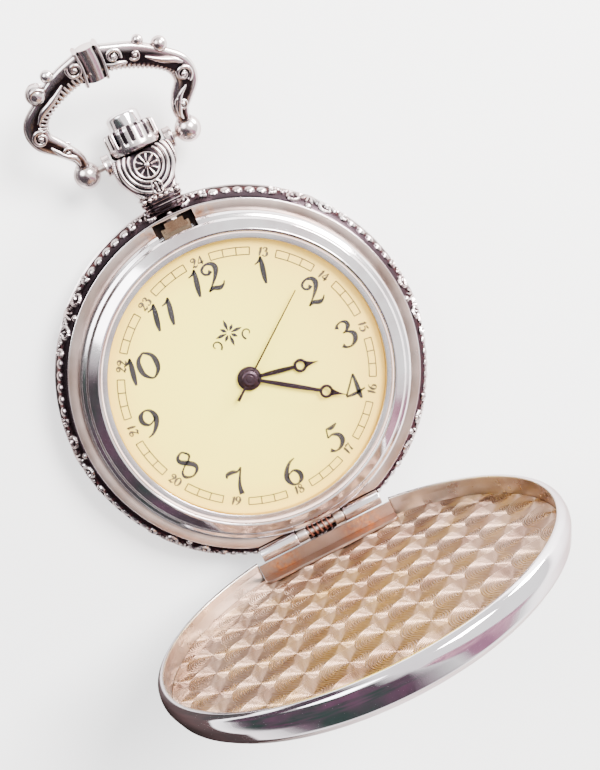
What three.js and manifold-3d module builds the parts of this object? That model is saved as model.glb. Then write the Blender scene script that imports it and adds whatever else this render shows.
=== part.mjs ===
// Hunter-case pocket watch with a quartz movement, lying open: the lid at its stop, the bow
// raised. Millimetres. Origin: centre of the flat back. +Z out of the dial, +Y towards 12 o'clock
// and the crown, +X towards 3 o'clock.
import * as THREE from 'three';
import { mergeVertices } from 'three/addons/utils/BufferGeometryUtils.js';
import Module from 'manifold-3d';

const wasm = await Module();
wasm.setup();

// ---------------------------------------------------------------- driving dimensions (mm)
const FINE = 36; // sides of a large visible circle
const MEDIUM = 24; // sides of a hidden or smaller circle
const SMALL = 12; // sides of a pin, screw or arbor
const GAP = 0.05; // clearance between pieces that sit on each other

const CASE_R = 23.5; // widest radius of the middle case
const CASE_BORE_R = 19.7;
const CASE_TOP_Z = 7.0; // seat ring that the closed lid comes down on
const SEAT_R = 21.6;
const BACK_TOP_Z = 2.0; // joint between back cover and middle case
const REST_R = 16; // flat of the back that the watch lies on
const BEZEL_OUT_R = 20.3;
const BEZEL_IN_R = 17.0;
const BEZEL_TOP_Z = 9.2;
const CRYSTAL_R = 17.7;
const DIAL_R = 18.7;
const DIAL_Z = 7.0;
const DIAL_TOP_Z = 7.4;
const DIAL_HOLE_R = 1.15;
const DIAL_TURN = -1.6; // the dial sits turned in the case by this many degrees

const HOUR_ANGLE = 100.3; // hand angles at rest, clockwise from 12 o'clock
const MINUTE_ANGLE = 124;
const SECOND_ANGLE = 51;
const HOUR_Z = 7.7; // undersides of the hands
const MINUTE_Z = 7.98;
const SECOND_Z = 8.2;

const HINGE_Y = -21.1; // lid hinge axis, along X
const HINGE_Z = 7.2;
const HINGE_HALF = 8.3;
const HINGE_SEAT_Z = 6.15; // notch in the case that the tubes stand in
const TUBE_IN_X = 3.3; // inner end of each tube on the case
const KNUCKLE_IN_X = 1.9; // inner end of each knuckle on the lid
const TUBE_R = 0.95;
const KNUCKLE_R = 0.82;
const HINGE_BORE_R = 0.5;
const LID_OPEN = 88; // degrees from closed to the stop
const LID_R = 23.8;
const LID_WALL_R = 22.85; // inside of the lid's wall
const LID_RIM_Z = 7.85; // heights of the lid are given closed
const LID_TOP_Z = 13.4;
const LID_PLATE_R = 22.5; // engine-turned plate inside the lid
const LID_PLATE_Z = 10.15;
const LID_PLATE_THICK = 0.3;
const LID_FLAT_Y = -20.5; // the plate ends on this chord at the hinge
const LEAF_LOW_Z = LID_PLATE_Z - 0.4; // hinge leaf under the plate
const LEAF_HALF = 9.2;
const LEAF_IN_Y = -18.0;
const LEAF_LIP_Z = 8.2; // the leaf turns down to here, close behind the tubes

const STEM_Z = 4.6; // axis of stem, crown and pendant
const BOW_Y = 30.0; // bow pivot axis, along X
const BOW_TILT = 30; // degrees that the bow stands up at rest
const BOW_SHIFT = -0.1; // the bow sits a little to the left on its pins
const BALL_U = 6.6; // ball centres from the bow's middle
const BALL_R = 1.6;
const PIN_IN_X = 3.9; // inner end of each bow pin
const BOW_PIN_R = 0.38;
const BOW_BORE_R = 0.45;
const BOW_THICK = 2.2;
const CROWN_R = 3.25;
const CROWN_Y = 30.1;
const CROWN_TOP_Y = 33.1;
const BUTTON_R = 2.0;
const BUTTON_TOP_Y = 34.95;
const SPRING_Y = 31.95; // seat of the button's spring in the crown
const PUSHER_R = 0.8; // circle of the button's two prongs

const PLATE_R = 10.2; // movement plate
const PLATE_LOW_Z = 4.6;
const PLATE_TOP_Z = 5.6;
const TRAIN_M = 0.1; // tooth module of the third wheel's mesh
const SECONDS_M = 0.14;
const ROTOR_M = 0.11;
const MOTION_M = 0.16;

// ---------------------------------------------------------------- solids and booleans
const rad = THREE.MathUtils.degToRad;

function toSolid(source) {
  const bare = new THREE.BufferGeometry();
  bare.setAttribute('position', source.getAttribute('position').clone());
  if (source.index) bare.setIndex(source.index.clone());
  const merged = mergeVertices(bare, 1e-4);
  const corners = merged.index.array;
  const kept = [];
  for (let i = 0; i < corners.length; i += 3) {
    const [a, b, c] = [corners[i], corners[i + 1], corners[i + 2]];
    if (a !== b && b !== c && c !== a) kept.push(a, b, c);
  }
  const make = (triVerts) => new wasm.Manifold(new wasm.Mesh({
    numProp: 3,
    vertProperties: new Float32Array(merged.getAttribute('position').array),
    triVerts: new Uint32Array(triVerts),
  }));
  const solid = make(kept);
  if (solid.volume() > 0) return solid;
  const turned = [];
  for (let i = 0; i < kept.length; i += 3) turned.push(kept[i], kept[i + 2], kept[i + 1]);
  return make(turned);
}

function toGeometry(solid) {
  const mesh = solid.getMesh();
  const geometry = new THREE.BufferGeometry();
  geometry.setAttribute('position', new THREE.BufferAttribute(mesh.vertProperties, 3));
  geometry.setIndex(new THREE.BufferAttribute(mesh.triVerts, 1));
  geometry.computeVertexNormals();
  return geometry;
}

// A turned piece about Z: [radius, height] points from axis to axis, or closing on themselves.
function turned(points, sides = FINE) {
  const profile = points.map(([r, h]) => new THREE.Vector2(r, h));
  return toSolid(new THREE.LatheGeometry(profile, sides).rotateX(Math.PI / 2));
}

function ring(inner, outer, low, high, sides = FINE) {
  return turned([[inner, low], [outer, low], [outer, high], [inner, high], [inner, low]], sides);
}

function rod(radius, low, high, x = 0, y = 0, sides = SMALL) {
  const shape = new THREE.CylinderGeometry(radius, radius, high - low, sides);
  return toSolid(shape.rotateX(Math.PI / 2).translate(x, y, (low + high) / 2));
}

function rodX(radius, from, to, y, z, sides = SMALL) {
  const shape = new THREE.CylinderGeometry(radius, radius, to - from, sides);
  return toSolid(shape.rotateZ(Math.PI / 2).translate((from + to) / 2, y, z));
}

function rodY(radius, from, to, x = 0, z = STEM_Z, sides = SMALL) {
  const shape = new THREE.CylinderGeometry(radius, radius, to - from, sides);
  return toSolid(shape.translate(x, (from + to) / 2, z));
}

// A turned piece about the crown's axis: [radius, y] points.
function turnedY(points, sides = MEDIUM) {
  const profile = points.map(([r, y]) => new THREE.Vector2(r, y));
  return toSolid(new THREE.LatheGeometry(profile, sides).translate(0, 0, STEM_Z));
}

function ringY(inner, outer, from, to, sides = SMALL) {
  return turnedY([[inner, from], [outer, from], [outer, to], [inner, to], [inner, from]], sides);
}

function box(x0, x1, y0, y1, z0, z1) {
  const shape = new THREE.BoxGeometry(x1 - x0, y1 - y0, z1 - z0);
  return toSolid(shape.translate((x0 + x1) / 2, (y0 + y1) / 2, (z0 + z1) / 2));
}

// A flat piece: outline of [x, y] points, or a THREE.Shape, between two heights.
function sheet(outline, low, high) {
  const shape = outline instanceof THREE.Shape
    ? outline
    : new THREE.Shape(outline.map(([x, y]) => new THREE.Vector2(x, y)));
  const settings = { depth: high - low, bevelEnabled: false };
  return toSolid(new THREE.ExtrudeGeometry(shape, settings).translate(0, 0, low));
}

// A gear with V-shaped teeth, thinned so that meshed teeth keep backlash.
function gear(teeth, module, low, high) {
  const pitch = (teeth * module) / 2;
  const outline = [];
  for (let i = 0; i < teeth * 2; i += 1) {
    const angle = (i * Math.PI) / teeth;
    const r = i % 2 === 0 ? pitch + module * 0.4 : pitch - module * 0.9;
    outline.push([r * Math.cos(angle), r * Math.sin(angle)]);
  }
  return sheet(outline, low, high);
}

function union(...solids) {
  return solids.reduce((whole, part) => whole.add(part));
}

// Two ends in rising order, for pieces mirrored to the left and right.
function span(a, b) {
  return [Math.min(a, b), Math.max(a, b)];
}

const watch = new THREE.Group();

function metal(color, roughness) {
  return new THREE.MeshStandardMaterial({ color, roughness, metalness: 1 });
}

function plastic(color, roughness) {
  return new THREE.MeshStandardMaterial({ color, roughness, metalness: 0 });
}

function add(name, solid, material, parent = watch, at = [0, 0]) {
  const mesh = new THREE.Mesh(toGeometry(solid), material);
  mesh.name = name;
  mesh.position.set(at[0], at[1], 0);
  parent.add(mesh);
}

const CHROME = 0xc9c8cc;
const STEEL = 0x9a989b;
const BRASS = 0xc8a860;
const DARK = 0x1c1820;
const ROSE = 0xb8a090;

// ---------------------------------------------------------------- case
function addCase() {
  const band = turned([
    [CASE_BORE_R, BACK_TOP_Z + GAP], [22.5, BACK_TOP_Z + GAP], [23.1, 2.5], [CASE_R, 3.5],
    [23.35, 4.6], [22.9, 5.6], [22.3, 6.3], [SEAT_R + 0.15, 6.8], [SEAT_R, CASE_TOP_Z],
    [CASE_BORE_R, CASE_TOP_Z], [CASE_BORE_R, BACK_TOP_Z + GAP],
  ]);
  const hingeSeat = box(-HINGE_HALF - 0.4, HINGE_HALF + 0.4, -24, -20.0, HINGE_SEAT_Z, 8);
  const latchSlot = box(-2.6, 2.6, 19, SEAT_R - 0.2, 6.1, 8);
  const stemHole = rodY(1.4, 18, 25);
  add('mid_case', band.subtract(hingeSeat).subtract(latchSlot).subtract(stemHole), metal(CHROME, 0.3));

  add('back_cover', turned([
    [0, 0], [REST_R, 0], [19.5, 0.25], [21.8, 0.9], [22.5, BACK_TOP_Z],
    [19.6, BACK_TOP_Z], [19.6, 2.6], [18.9, 2.6], [18.9, 1.3], [15, 0.85], [0, 0.8],
  ]), metal(CHROME, 0.2));
  add('back_gasket', ring(18.2, 18.8, 1.35, 2.0), plastic(0x2a2a2a, 0.8));

  const bezel = turned([
    [19.0, 6.3], [19.6, 6.3], [19.6, CASE_TOP_Z + GAP], [BEZEL_OUT_R, CASE_TOP_Z + GAP],
    [20.2, 7.9], [19.4, 8.8], [18.4, BEZEL_TOP_Z], [17.85, 9.1],
    [17.85, 8.55], [BEZEL_IN_R, 8.5], [BEZEL_IN_R, 7.5], [19.0, 7.5], [19.0, 6.3],
  ]);
  const notch = union(box(-2.5, 2.5, 18.5, 21, 6, 7.45), box(-2.5, 2.5, 19.0, 21, 7, 8.4));
  add('bezel', bezel.subtract(notch), metal(CHROME, 0.12));
  add('crystal', turned([
    [0, 8.62], [CRYSTAL_R - 0.1, 8.62], [CRYSTAL_R - 0.1, 9.1], [14, 9.35], [8, 9.55], [0, 9.65],
  ]), new THREE.MeshStandardMaterial({
    color: 0xffffff, roughness: 0.03, metalness: 0, transparent: true, opacity: 0.2,
  }));
  add('crystal_gasket', ring(17.63, 17.8, 8.6, 9.05), plastic(0xe8ddd0, 0.6));
}

function addDial() {
  const group = new THREE.Group();
  group.rotation.z = rad(DIAL_TURN);
  watch.add(group);
  add('dial', ring(DIAL_HOLE_R, DIAL_R, DIAL_Z, DIAL_TOP_Z), plastic(0xf0dda0, 0.5), group);
}

// ---------------------------------------------------------------- hands
// Each hand points along +Y and is then turned clockwise to its rest angle.
function handGroup(angle) {
  const group = new THREE.Group();
  group.rotation.z = rad(-angle + DIAL_TURN);
  watch.add(group);
  return group;
}

function addPommeHand(name, angle, sizes) {
  const { hubR, boreR, eyeY, tipY, width, low, high } = sizes;
  const eyeR = 0.95;
  const tipBase = eyeY + eyeR * 0.8;
  const tipHalf = 0.06;
  const bladeStart = hubR * 0.6;
  const blade = sheet([
    [-width, bladeStart], [width, bladeStart], [width * 0.8, eyeY], [-width * 0.8, eyeY],
  ], low, high);
  const tip = sheet([
    [-0.42, tipBase], [0.42, tipBase], [tipHalf, tipY], [-tipHalf, tipY],
  ], low, high);
  const eye = rod(eyeR, low, high, 0, eyeY, 14);
  const hole = rod(0.5, low - 1, high + 1, 0, eyeY, 10);
  const hub = rod(hubR, low, high, 0, 0, 16);
  const bore = rod(boreR, low - 1, high + 1, 0, 0, 12);
  const hand = union(hub, blade, tip, eye).subtract(hole).subtract(bore);
  add(name, hand, metal(DARK, 0.35), handGroup(angle));
}

function addHands() {
  addPommeHand('hour_hand', HOUR_ANGLE, {
    hubR: 1.5, boreR: 0.98, eyeY: 6.45, tipY: 8.7, width: 0.26, low: HOUR_Z, high: HOUR_Z + 0.15,
  });
  addPommeHand('minute_hand', MINUTE_ANGLE, {
    hubR: 1.25, boreR: 0.65, eyeY: 9.65, tipY: 12.3, width: 0.22, low: MINUTE_Z, high: MINUTE_Z + 0.12,
  });
  const low = SECOND_Z;
  const high = SECOND_Z + 0.08;
  const tip = 12.1;
  const tail = -3.05;
  const needle = sheet([
    [-0.16, tail], [0.16, tail], [0.1, 0.8], [0.05, tip], [-0.05, tip], [-0.1, 0.8],
  ], low, high);
  const cap = turned([[0, low], [1.0, low], [1.0, low + 0.16], [0.7, low + 0.27], [0, low + 0.3]], 16);
  const seat = rod(0.33, low - 1, low + 0.1);
  add('second_hand', needle.add(cap).subtract(seat), metal(DARK, 0.35), handGroup(SECOND_ANGLE));
}

// ---------------------------------------------------------------- pendant, crown and latch
function addPendant() {
  const half = [
    [2.7, 23.75], [2.95, 24.1], [2.6, 24.6], [2.95, 25.3], [3.6, 26.4], [4.1, 27.6], [4.2, 28.6],
    [4.5, 28.8], [4.5, 31.1], [3.95, 31.1], [3.9, 29.9],
  ];
  const left = half.map(([x, y]) => [-x, y]).reverse();
  const body = sheet([...half, ...left], STEM_Z - 2.7, STEM_Z + 2.7);
  const bossCut = union(
    box(3.88, 6, 28.7, 32, 5.9, 8), box(3.88, 6, 28.7, 32, 1, 3.3),
    box(-6, -3.88, 28.7, 32, 5.9, 8), box(-6, -3.88, 28.7, 32, 1, 3.3),
  );
  const caseSide = rod(CASE_R + 0.3, 0, 10, 0, 0, FINE);
  const pinHoles = rodX(BOW_BORE_R, -6, 6, BOW_Y, STEM_Z);
  add('pendant_neck', body.subtract(bossCut).subtract(caseSide).subtract(pinHoles)
    .subtract(rodY(1.36, 20, 33, 0, STEM_Z, SMALL)), metal(STEEL, 0.35));
  add('pendant_tube', ringY(1.08, 1.3, 20.6, 30.9), metal(STEEL, 0.3));
}

function addCrown() {
  const skirt = turnedY([
    [2.5, CROWN_Y], [2.95, CROWN_Y], [CROWN_R, CROWN_Y + 0.35], [CROWN_R, CROWN_TOP_Y - 0.4],
    [2.95, CROWN_TOP_Y], [BUTTON_R + 0.12, CROWN_TOP_Y], [BUTTON_R + 0.12, SPRING_Y - GAP],
    [0, SPRING_Y - GAP], [0, 31.3], [2.5, 31.3], [2.5, CROWN_Y],
  ]);
  const flutes = [];
  const count = 18;
  for (let i = 0; i < count; i += 1) {
    const angle = (i * 2 * Math.PI) / count;
    const [x, z] = [(CROWN_R + 0.05) * Math.sin(angle), STEM_Z + (CROWN_R + 0.05) * Math.cos(angle)];
    flutes.push(rodY(0.18, CROWN_Y + 0.65, CROWN_TOP_Y + 1, x, z, 4));
  }
  const holes = union(rodY(0.26, 30, 33, -PUSHER_R), rodY(0.26, 30, 33, PUSHER_R), rodY(0.46, 30, 31.62));
  add('crown', skirt.subtract(union(...flutes)).subtract(holes), metal(CHROME, 0.15));

  const button = turnedY([
    [0, 33.0], [0.95, 33.0], [0.95, 33.9], [1.6, 33.9], [1.6, 33.0], [BUTTON_R, 33.0],
    [BUTTON_R, BUTTON_TOP_Y - 0.5], [1.8, BUTTON_TOP_Y - 0.2], [1.4, BUTTON_TOP_Y - 0.05],
    [0, BUTTON_TOP_Y],
  ]);
  const prongs = [-1, 1].map((side) => rodY(0.18, 31.0, 33.2, side * PUSHER_R, STEM_Z, 8));
  add('crown_button', union(button, ...prongs), metal(CHROME, 0.1));

  const coils = [[1.12, SPRING_Y]];
  const turns = 3;
  const pitch = 0.36;
  for (let i = 0; i < turns; i += 1) {
    const y = SPRING_Y + i * pitch;
    coils.push([1.48, y], [1.48, y + pitch * 0.6], [1.3, y + pitch * 0.8]);
  }
  coils.push([1.12, SPRING_Y + turns * pitch], [1.12, SPRING_Y]);
  add('button_spring', turnedY(coils, SMALL), metal(STEEL, 0.4));

  const groove = ringY(0.27, 0.7, 8.3, 8.9);
  add('setting_stem', rodY(0.44, 4.6, 31.6).subtract(groove), metal(STEEL, 0.3));
  add('push_sleeve', ringY(0.6, 1.0, 19.15, 30.95), metal(STEEL, 0.3));
}

// Flat spring behind the 12 o'clock slot: its hook holds the closed lid, its two legs straddle the
// stem and are pushed inwards by the sleeve.
function addLatch() {
  const strip = box(-4.5, 4.5, 17.3, 18.2, 6.25, 6.55);
  const tongue = box(-1.8, 1.8, 18.1, 20.5, 6.25, 6.55);
  const post = box(-1.5, 1.5, 19.95, 20.5, 6.25, 7.95);
  const nose = box(-1.2, 1.2, 20.3, 21.1, 7.6, 7.95);
  const legs = union(box(0.62, 1.5, 18.6, 19.1, 4.2, 6.5), box(-1.5, -0.62, 18.6, 19.1, 4.2, 6.5));
  add('lid_catch', union(strip, tongue, post, nose, legs), metal(STEEL, 0.25));
}

// ---------------------------------------------------------------- bow
// Outline in the bow's own plane: u across, v up from the pivot axis. Each path point gives the
// middle of the band and its width, from the left ball over the top to the right one; the outline
// runs along one side and back along the other. The cast bow leans a little to the left.
function addBow() {
  const path = [
    [-BALL_U, 0.9, 1.9], [-6.63, 2.5, 1.7], [-8.0, 4.5, 2.1], [-9.4, 6.3, 2.7], [-9.3, 8.1, 3.1],
    [-7.7, 9.7, 2.8], [-4.7, 11.4, 3.5], [-2.0, 12.2, 3.9], [-0.5, 12.45, 4.3], [2.0, 11.8, 3.5],
    [4.3, 10.9, 3.5], [7.0, 9.2, 3.0], [8.45, 7.6, 3.2], [8.6, 5.8, 3.2], [7.5, 4.2, 2.9],
    [6.75, 3.0, 2.3], [6.6, 1.6, 1.9], [BALL_U, 0.8, 1.9],
  ];
  const outer = [];
  const inner = [];
  path.forEach(([u, v, w], i) => {
    const before = path[Math.max(i - 1, 0)];
    const after = path[Math.min(i + 1, path.length - 1)];
    const along = new THREE.Vector2(after[0] - before[0], after[1] - before[1]).normalize();
    outer.push(new THREE.Vector2(u + along.y * w / 2, v - along.x * w / 2));
    inner.push(new THREE.Vector2(u - along.y * w / 2, v + along.x * w / 2));
  });
  const outline = new THREE.Shape([...outer, ...inner.reverse()]);
  let solid = sheet(outline, -BOW_THICK / 2, BOW_THICK / 2);
  const knobs = [[-7.7, 11.5, 1.25], [-5.7, 12.9, 0.78], [7.25, 10.95, 0.97], [5.15, 12.4, 0.68]];
  for (const [u, v, r] of knobs) solid = solid.add(rod(r, -1, 1, u, v, 10));
  for (const side of [-1, 1]) {
    const ball = new THREE.SphereGeometry(BALL_R, 12, 8).translate(side * BALL_U, 0, 0);
    solid = solid.add(toSolid(ball));
  }
  solid = solid.subtract(rodX(BOW_BORE_R, -BALL_U, BALL_U, 0, 0));

  const group = new THREE.Group();
  group.position.set(BOW_SHIFT, BOW_Y, STEM_Z);
  group.rotation.x = rad(BOW_TILT);
  watch.add(group);
  add('bow', solid, metal(STEEL, 0.3), group);
  for (const [name, side] of [['bow_pin_left', -1], ['bow_pin_right', 1]]) {
    const [x0, x1] = span(side * (BALL_U - 0.2), side * PIN_IN_X - BOW_SHIFT);
    add(name, rodX(BOW_PIN_R, x0, x1, 0, 0), metal(STEEL, 0.35), group);
  }
}

// ---------------------------------------------------------------- lid and hinge
// The lid is drawn closed and swung open about the hinge axis.
function addLid() {
  const swing = new THREE.Group();
  swing.position.set(0, HINGE_Y, HINGE_Z);
  swing.rotation.x = rad(LID_OPEN);
  const lid = new THREE.Group();
  lid.position.set(0, -HINGE_Y, -HINGE_Z);
  swing.add(lid);
  watch.add(swing);

  const shell = turned([
    [0, LID_TOP_Z], [14, 13.2], [19, 12.9], [21.8, 12.2], [23.0, 11.2], [23.7, 9.9], [LID_R, 9.0],
    [23.6, 8.2], [23.1, LID_RIM_Z], [22.7, LID_RIM_Z + 0.05], [LID_WALL_R, 9.0],
    [LID_WALL_R, 10.9], [22.1, 11.5], [18, 12.1], [0, 12.7],
  ]);
  const tubeGap = box(-HINGE_HALF - 1.6, HINGE_HALF + 1.6, -25, LID_FLAT_Y + 0.5, 5, LID_PLATE_Z + 0.05);
  add('lid_shell', shell.subtract(tubeGap), metal(CHROME, 0.1), lid);

  const disc = rod(LID_PLATE_R, LID_PLATE_Z, LID_PLATE_Z + LID_PLATE_THICK, 0, 0, FINE);
  add('lid_plate', disc.subtract(box(-12, 12, -25, LID_FLAT_Y, 5, 12)), metal(ROSE, 0.3), lid);
  const leafTop = LID_PLATE_Z - GAP;
  const lipBack = LID_FLAT_Y - 0.25;
  const lip = box(-LEAF_HALF, LEAF_HALF, lipBack, LID_FLAT_Y + GAP, LEAF_LIP_Z, leafTop);
  let leaf = union(box(-LEAF_HALF, LEAF_HALF, LID_FLAT_Y, LEAF_IN_Y, LEAF_LOW_Z, leafTop), lip);
  for (const [name, side] of [['lid_knuckle_left', -1], ['lid_knuckle_right', 1]]) {
    const [x0, x1] = span(side * KNUCKLE_IN_X, side * (TUBE_IN_X - 0.08));
    const barrel = rodX(KNUCKLE_R, x0, x1, HINGE_Y, HINGE_Z);
    const back = HINGE_Y - KNUCKLE_R + 0.05;
    const arm = box(x0, x1, back, back + 0.95, HINGE_Z, LEAF_LOW_Z - GAP);
    const footLow = LEAF_LOW_Z - 0.35;
    const foot = box(x0, x1, back, -19.6, footLow, LEAF_LOW_Z - GAP);
    leaf = leaf.subtract(box(x0 - GAP, x1 + GAP, back, -19.6, footLow - GAP, LEAF_LOW_Z));
    const bore = rodX(HINGE_BORE_R, x0 - 1, x1 + 1, HINGE_Y, HINGE_Z);
    add(name, union(barrel, arm, foot).subtract(bore), metal(STEEL, 0.35), lid);
  }
  add('lid_hinge_leaf', leaf, metal(ROSE, 0.35), lid);
}

function addHinge() {
  for (const [name, side] of [['hinge_tube_left', -1], ['hinge_tube_right', 1]]) {
    const [x0, x1] = span(side * TUBE_IN_X, side * HINGE_HALF);
    const tube = rodX(TUBE_R, x0, x1, HINGE_Y, HINGE_Z);
    const foot = box(x0, x1, HINGE_Y - 0.7, HINGE_Y + 0.6, HINGE_SEAT_Z + GAP, HINGE_Z);
    const bore = rodX(HINGE_BORE_R, x0 - 1, x1 + 1, HINGE_Y, HINGE_Z);
    add(name, tube.add(foot).subtract(bore), metal(CHROME, 0.3));
  }
  const pinHalf = HINGE_HALF - 0.1;
  add('hinge_pin', rodX(HINGE_BORE_R - 0.08, -pinHalf, pinHalf, HINGE_Y, HINGE_Z), metal(STEEL, 0.4));

  const turns = 4;
  const pitch = 0.85;
  const start = -turns * pitch / 2;
  const coils = [[HINGE_BORE_R, start]];
  for (let i = 0; i < turns; i += 1) {
    const x = start + i * pitch;
    coils.push([0.8, x], [0.8, x + pitch * 0.6], [0.65, x + pitch * 0.8]);
  }
  coils.push([HINGE_BORE_R, -start], [HINGE_BORE_R, start]);
  const profile = coils.map(([r, x]) => new THREE.Vector2(r, x));
  const spring = new THREE.LatheGeometry(profile, 10).rotateZ(Math.PI / 2).translate(0, HINGE_Y, HINGE_Z);
  add('hinge_spring', toSolid(spring), metal(0x8a4a34, 0.5));
}

// ---------------------------------------------------------------- movement
const THIRD = [3.4 * Math.cos(rad(130)), 3.4 * Math.sin(rad(130))];
const FIFTH = [3.4 * Math.cos(rad(-20)), 3.4 * Math.sin(rad(-20))];
const ROTOR = [FIFTH[0] + 2.36 * Math.cos(rad(-30)), FIFTH[1] + 2.36 * Math.sin(rad(-30))];
const MINUTE = [3.26 * Math.cos(rad(60)), 3.26 * Math.sin(rad(60))];
const SETTING = [MINUTE[0] + 3.74 * Math.cos(rad(85)), MINUTE[1] + 3.74 * Math.sin(rad(85))];
const BATTERY = [-5.6, -3.6];

function wheel(name, at, parts, tint) {
  add(name, union(...parts), metal(tint, 0.35), watch, at);
}

function addTrain() {
  wheel('rotor', ROTOR, [
    rod(0.12, 2.6, 4.5, 0, 0, 8), gear(6, ROTOR_M, 2.8, 3.15), rod(0.65, 3.3, 4.0, 0, 0, 12),
  ], DARK);
  wheel('fifth_wheel', FIFTH, [
    rod(0.15, 2.6, 4.5, 0, 0, 8), gear(36, ROTOR_M, 2.85, 3.1), gear(8, SECONDS_M, 3.15, 3.6),
  ], BRASS);
  wheel('fourth_wheel', [0, 0], [
    rod(0.3, 2.6, 8.26, 0, 0, SMALL), gear(40, SECONDS_M, 3.3, 3.55), gear(8, TRAIN_M, 3.65, 4.0),
  ], BRASS);
  wheel('third_wheel', THIRD, [
    rod(0.15, 2.6, 4.5, 0, 0, 8), gear(60, TRAIN_M, 3.7, 3.95), gear(8, TRAIN_M * 0.95, 4.1, 4.5),
  ], BRASS);
  const cannonBore = rod(0.42, 4, 9, 0, 0, SMALL);
  wheel('center_wheel', [0, 0], [
    rod(0.62, 4.1, 8.12, 0, 0, SMALL).subtract(cannonBore),
    gear(64, TRAIN_M * 0.95, 4.15, 4.4).subtract(cannonBore),
    gear(10, MOTION_M, 5.75, 6.15).subtract(cannonBore),
  ], BRASS);
  wheel('minute_wheel', MINUTE, [
    rod(0.25, 5.0, 6.85, 0, 0, 8), gear(30, MOTION_M, 5.75, 6.0), gear(8, MOTION_M, 6.05, 6.75),
  ], BRASS);
  const hourBore = rod(0.75, 6, 8);
  wheel('hour_wheel', [0, 0], [
    rod(0.95, 6.3, 7.86).subtract(hourBore), gear(32, MOTION_M, 6.35, 6.6).subtract(hourBore),
  ], BRASS);
  wheel('setting_wheel', SETTING, [rod(0.25, 5.0, 6.2, 0, 0, 8), gear(16, MOTION_M, 5.75, 6.0)], STEEL);
}

function addMovementFrame() {
  const plate = ring(0.75, PLATE_R, PLATE_LOW_Z, PLATE_TOP_Z, MEDIUM);
  const cuts = union(
    box(-1.05, 1.05, 4.4, 11, 4, 6),
    rod(0.32, 4, 6, MINUTE[0], MINUTE[1], 12),
    rod(0.32, 4, 6, SETTING[0], SETTING[1], 12),
  );
  add('movement_plate', plate.subtract(cuts), metal(BRASS, 0.4));

  const bridge = sheet([
    [-5.8, 6.2], [1.2, 7.0], [7.2, 0.5], [7.2, -4.4], [3.0, -5.2], [-0.6, -4.6], [-1.6, -1.0],
    [-5.6, 1.4],
  ], 2.25, 2.55);
  const screwPlaces = [[-4.9, 5.3], [5.8, 0.5], [2.4, -4.2]];
  const posts = screwPlaces.map(([x, y]) => rod(0.6, 2.25, PLATE_LOW_Z - GAP, x, y, 12));
  const drills = screwPlaces.map(([x, y]) => rod(0.34, 2, 5, x, y, 10));
  add('train_bridge', union(bridge, ...posts).subtract(union(...drills)), metal(BRASS, 0.35));
  screwPlaces.forEach(([x, y], i) => {
    const screw = rod(0.28, 2.2, 4.5, x, y, 8).add(rod(0.55, 1.9, 2.2, x, y, 12));
    const slot = box(x - 0.7, x + 0.7, y - 0.09, y + 0.09, 1.8, 2.02);
    add(`bridge_screw_${i + 1}`, screw.subtract(slot), metal(STEEL, 0.25));
  });

  const holder = ring(10.45, 19.2, 2.7, 6.9, MEDIUM);
  const pockets = union(
    rodY(1.15, 9, 20.6), box(-7, 7, 16.0, 20.6, 6.0, 7.5), box(-2.2, 2.2, 16.6, 20.6, 3.4, 7.5),
    ring(18.85, 20, 6.2, 7.5),
  );
  add('movement_holder', holder.subtract(pockets), plastic(0xd8d6d0, 0.7));
}

function addMotor() {
  const [rx, ry] = ROTOR;
  const outline = new THREE.Shape([
    [-1.0, -8.3], [6.1, -8.3], [6.6, -6.2], [rx + 1.4, ry - 0.6], [rx + 1.3, ry + 0.9],
    [rx, ry + 1.4], [rx - 1.05, ry + 0.6], [rx - 1.4, ry - 1.2], [4.6, -6.9], [-1.0, -6.9],
  ].map(([x, y]) => new THREE.Vector2(x, y)));
  const stator = sheet(outline, 3.35, 3.7).subtract(rod(0.85, 3, 4, rx, ry, 16));
  add('stator', stator, metal(STEEL, 0.5));
  add('coil_core', box(-1.0, 6.2, -8.0, -7.2, 3.95, 4.3), metal(STEEL, 0.5));
  const winding = rodX(0.62, 0.1, 5.1, -7.6, 4.13, SMALL).intersect(box(0, 5.2, -9, -6, 3.72, 4.55))
    .add(box(0.1, 5.1, -8.2, -7.0, 3.75, 4.5));
  add('coil_winding', winding.subtract(box(-2, 7, -8.03, -7.17, 3.93, 4.32)), metal(0xb4602c, 0.45));

  const board = sheet([
    [7.4, -0.5], [9.8, -0.8], [9.3, 3.4], [5.6, 7.9], [3.6, 8.4], [3.6, 6.2], [7.2, 2.6],
  ], 4.1, 4.35);
  add('circuit_board', board, plastic(0x2c5a34, 0.6));
  const can = toSolid(new THREE.CylinderGeometry(0.7, 0.7, 4.6, SMALL).rotateZ(rad(42))
    .translate(6.6, 5.2, 3.35));
  add('quartz_can', can, metal(CHROME, 0.2));
  add('ic_chip', box(7.9, 9.2, 0.4, 1.9, 3.5, 4.05), plastic(0x151515, 0.5));

  const [bx, by] = BATTERY;
  const cell = turned([[0, 2.35], [3.1, 2.35], [3.4, 2.6], [3.4, 4.4], [0, 4.4]], MEDIUM);
  add('battery_cell', cell, metal(CHROME, 0.2), watch, BATTERY);
  const clamp = sheet([
    [bx - 3.6, by + 2.3], [bx + 1.2, by + 3.9], [bx + 1.9, by + 1.4], [bx - 1.4, by - 0.4],
  ], 2.0, 2.28);
  add('battery_clamp', clamp, metal(STEEL, 0.3));
  const clampScrew = rod(0.5, 1.7, 1.98, bx + 1.0, by + 3.0, 12);
  const screwSlot = box(bx + 0.2, bx + 1.8, by + 2.91, by + 3.09, 1.6, 1.82);
  add('clamp_screw', clampScrew.subtract(screwSlot), metal(STEEL, 0.25));
}

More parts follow.
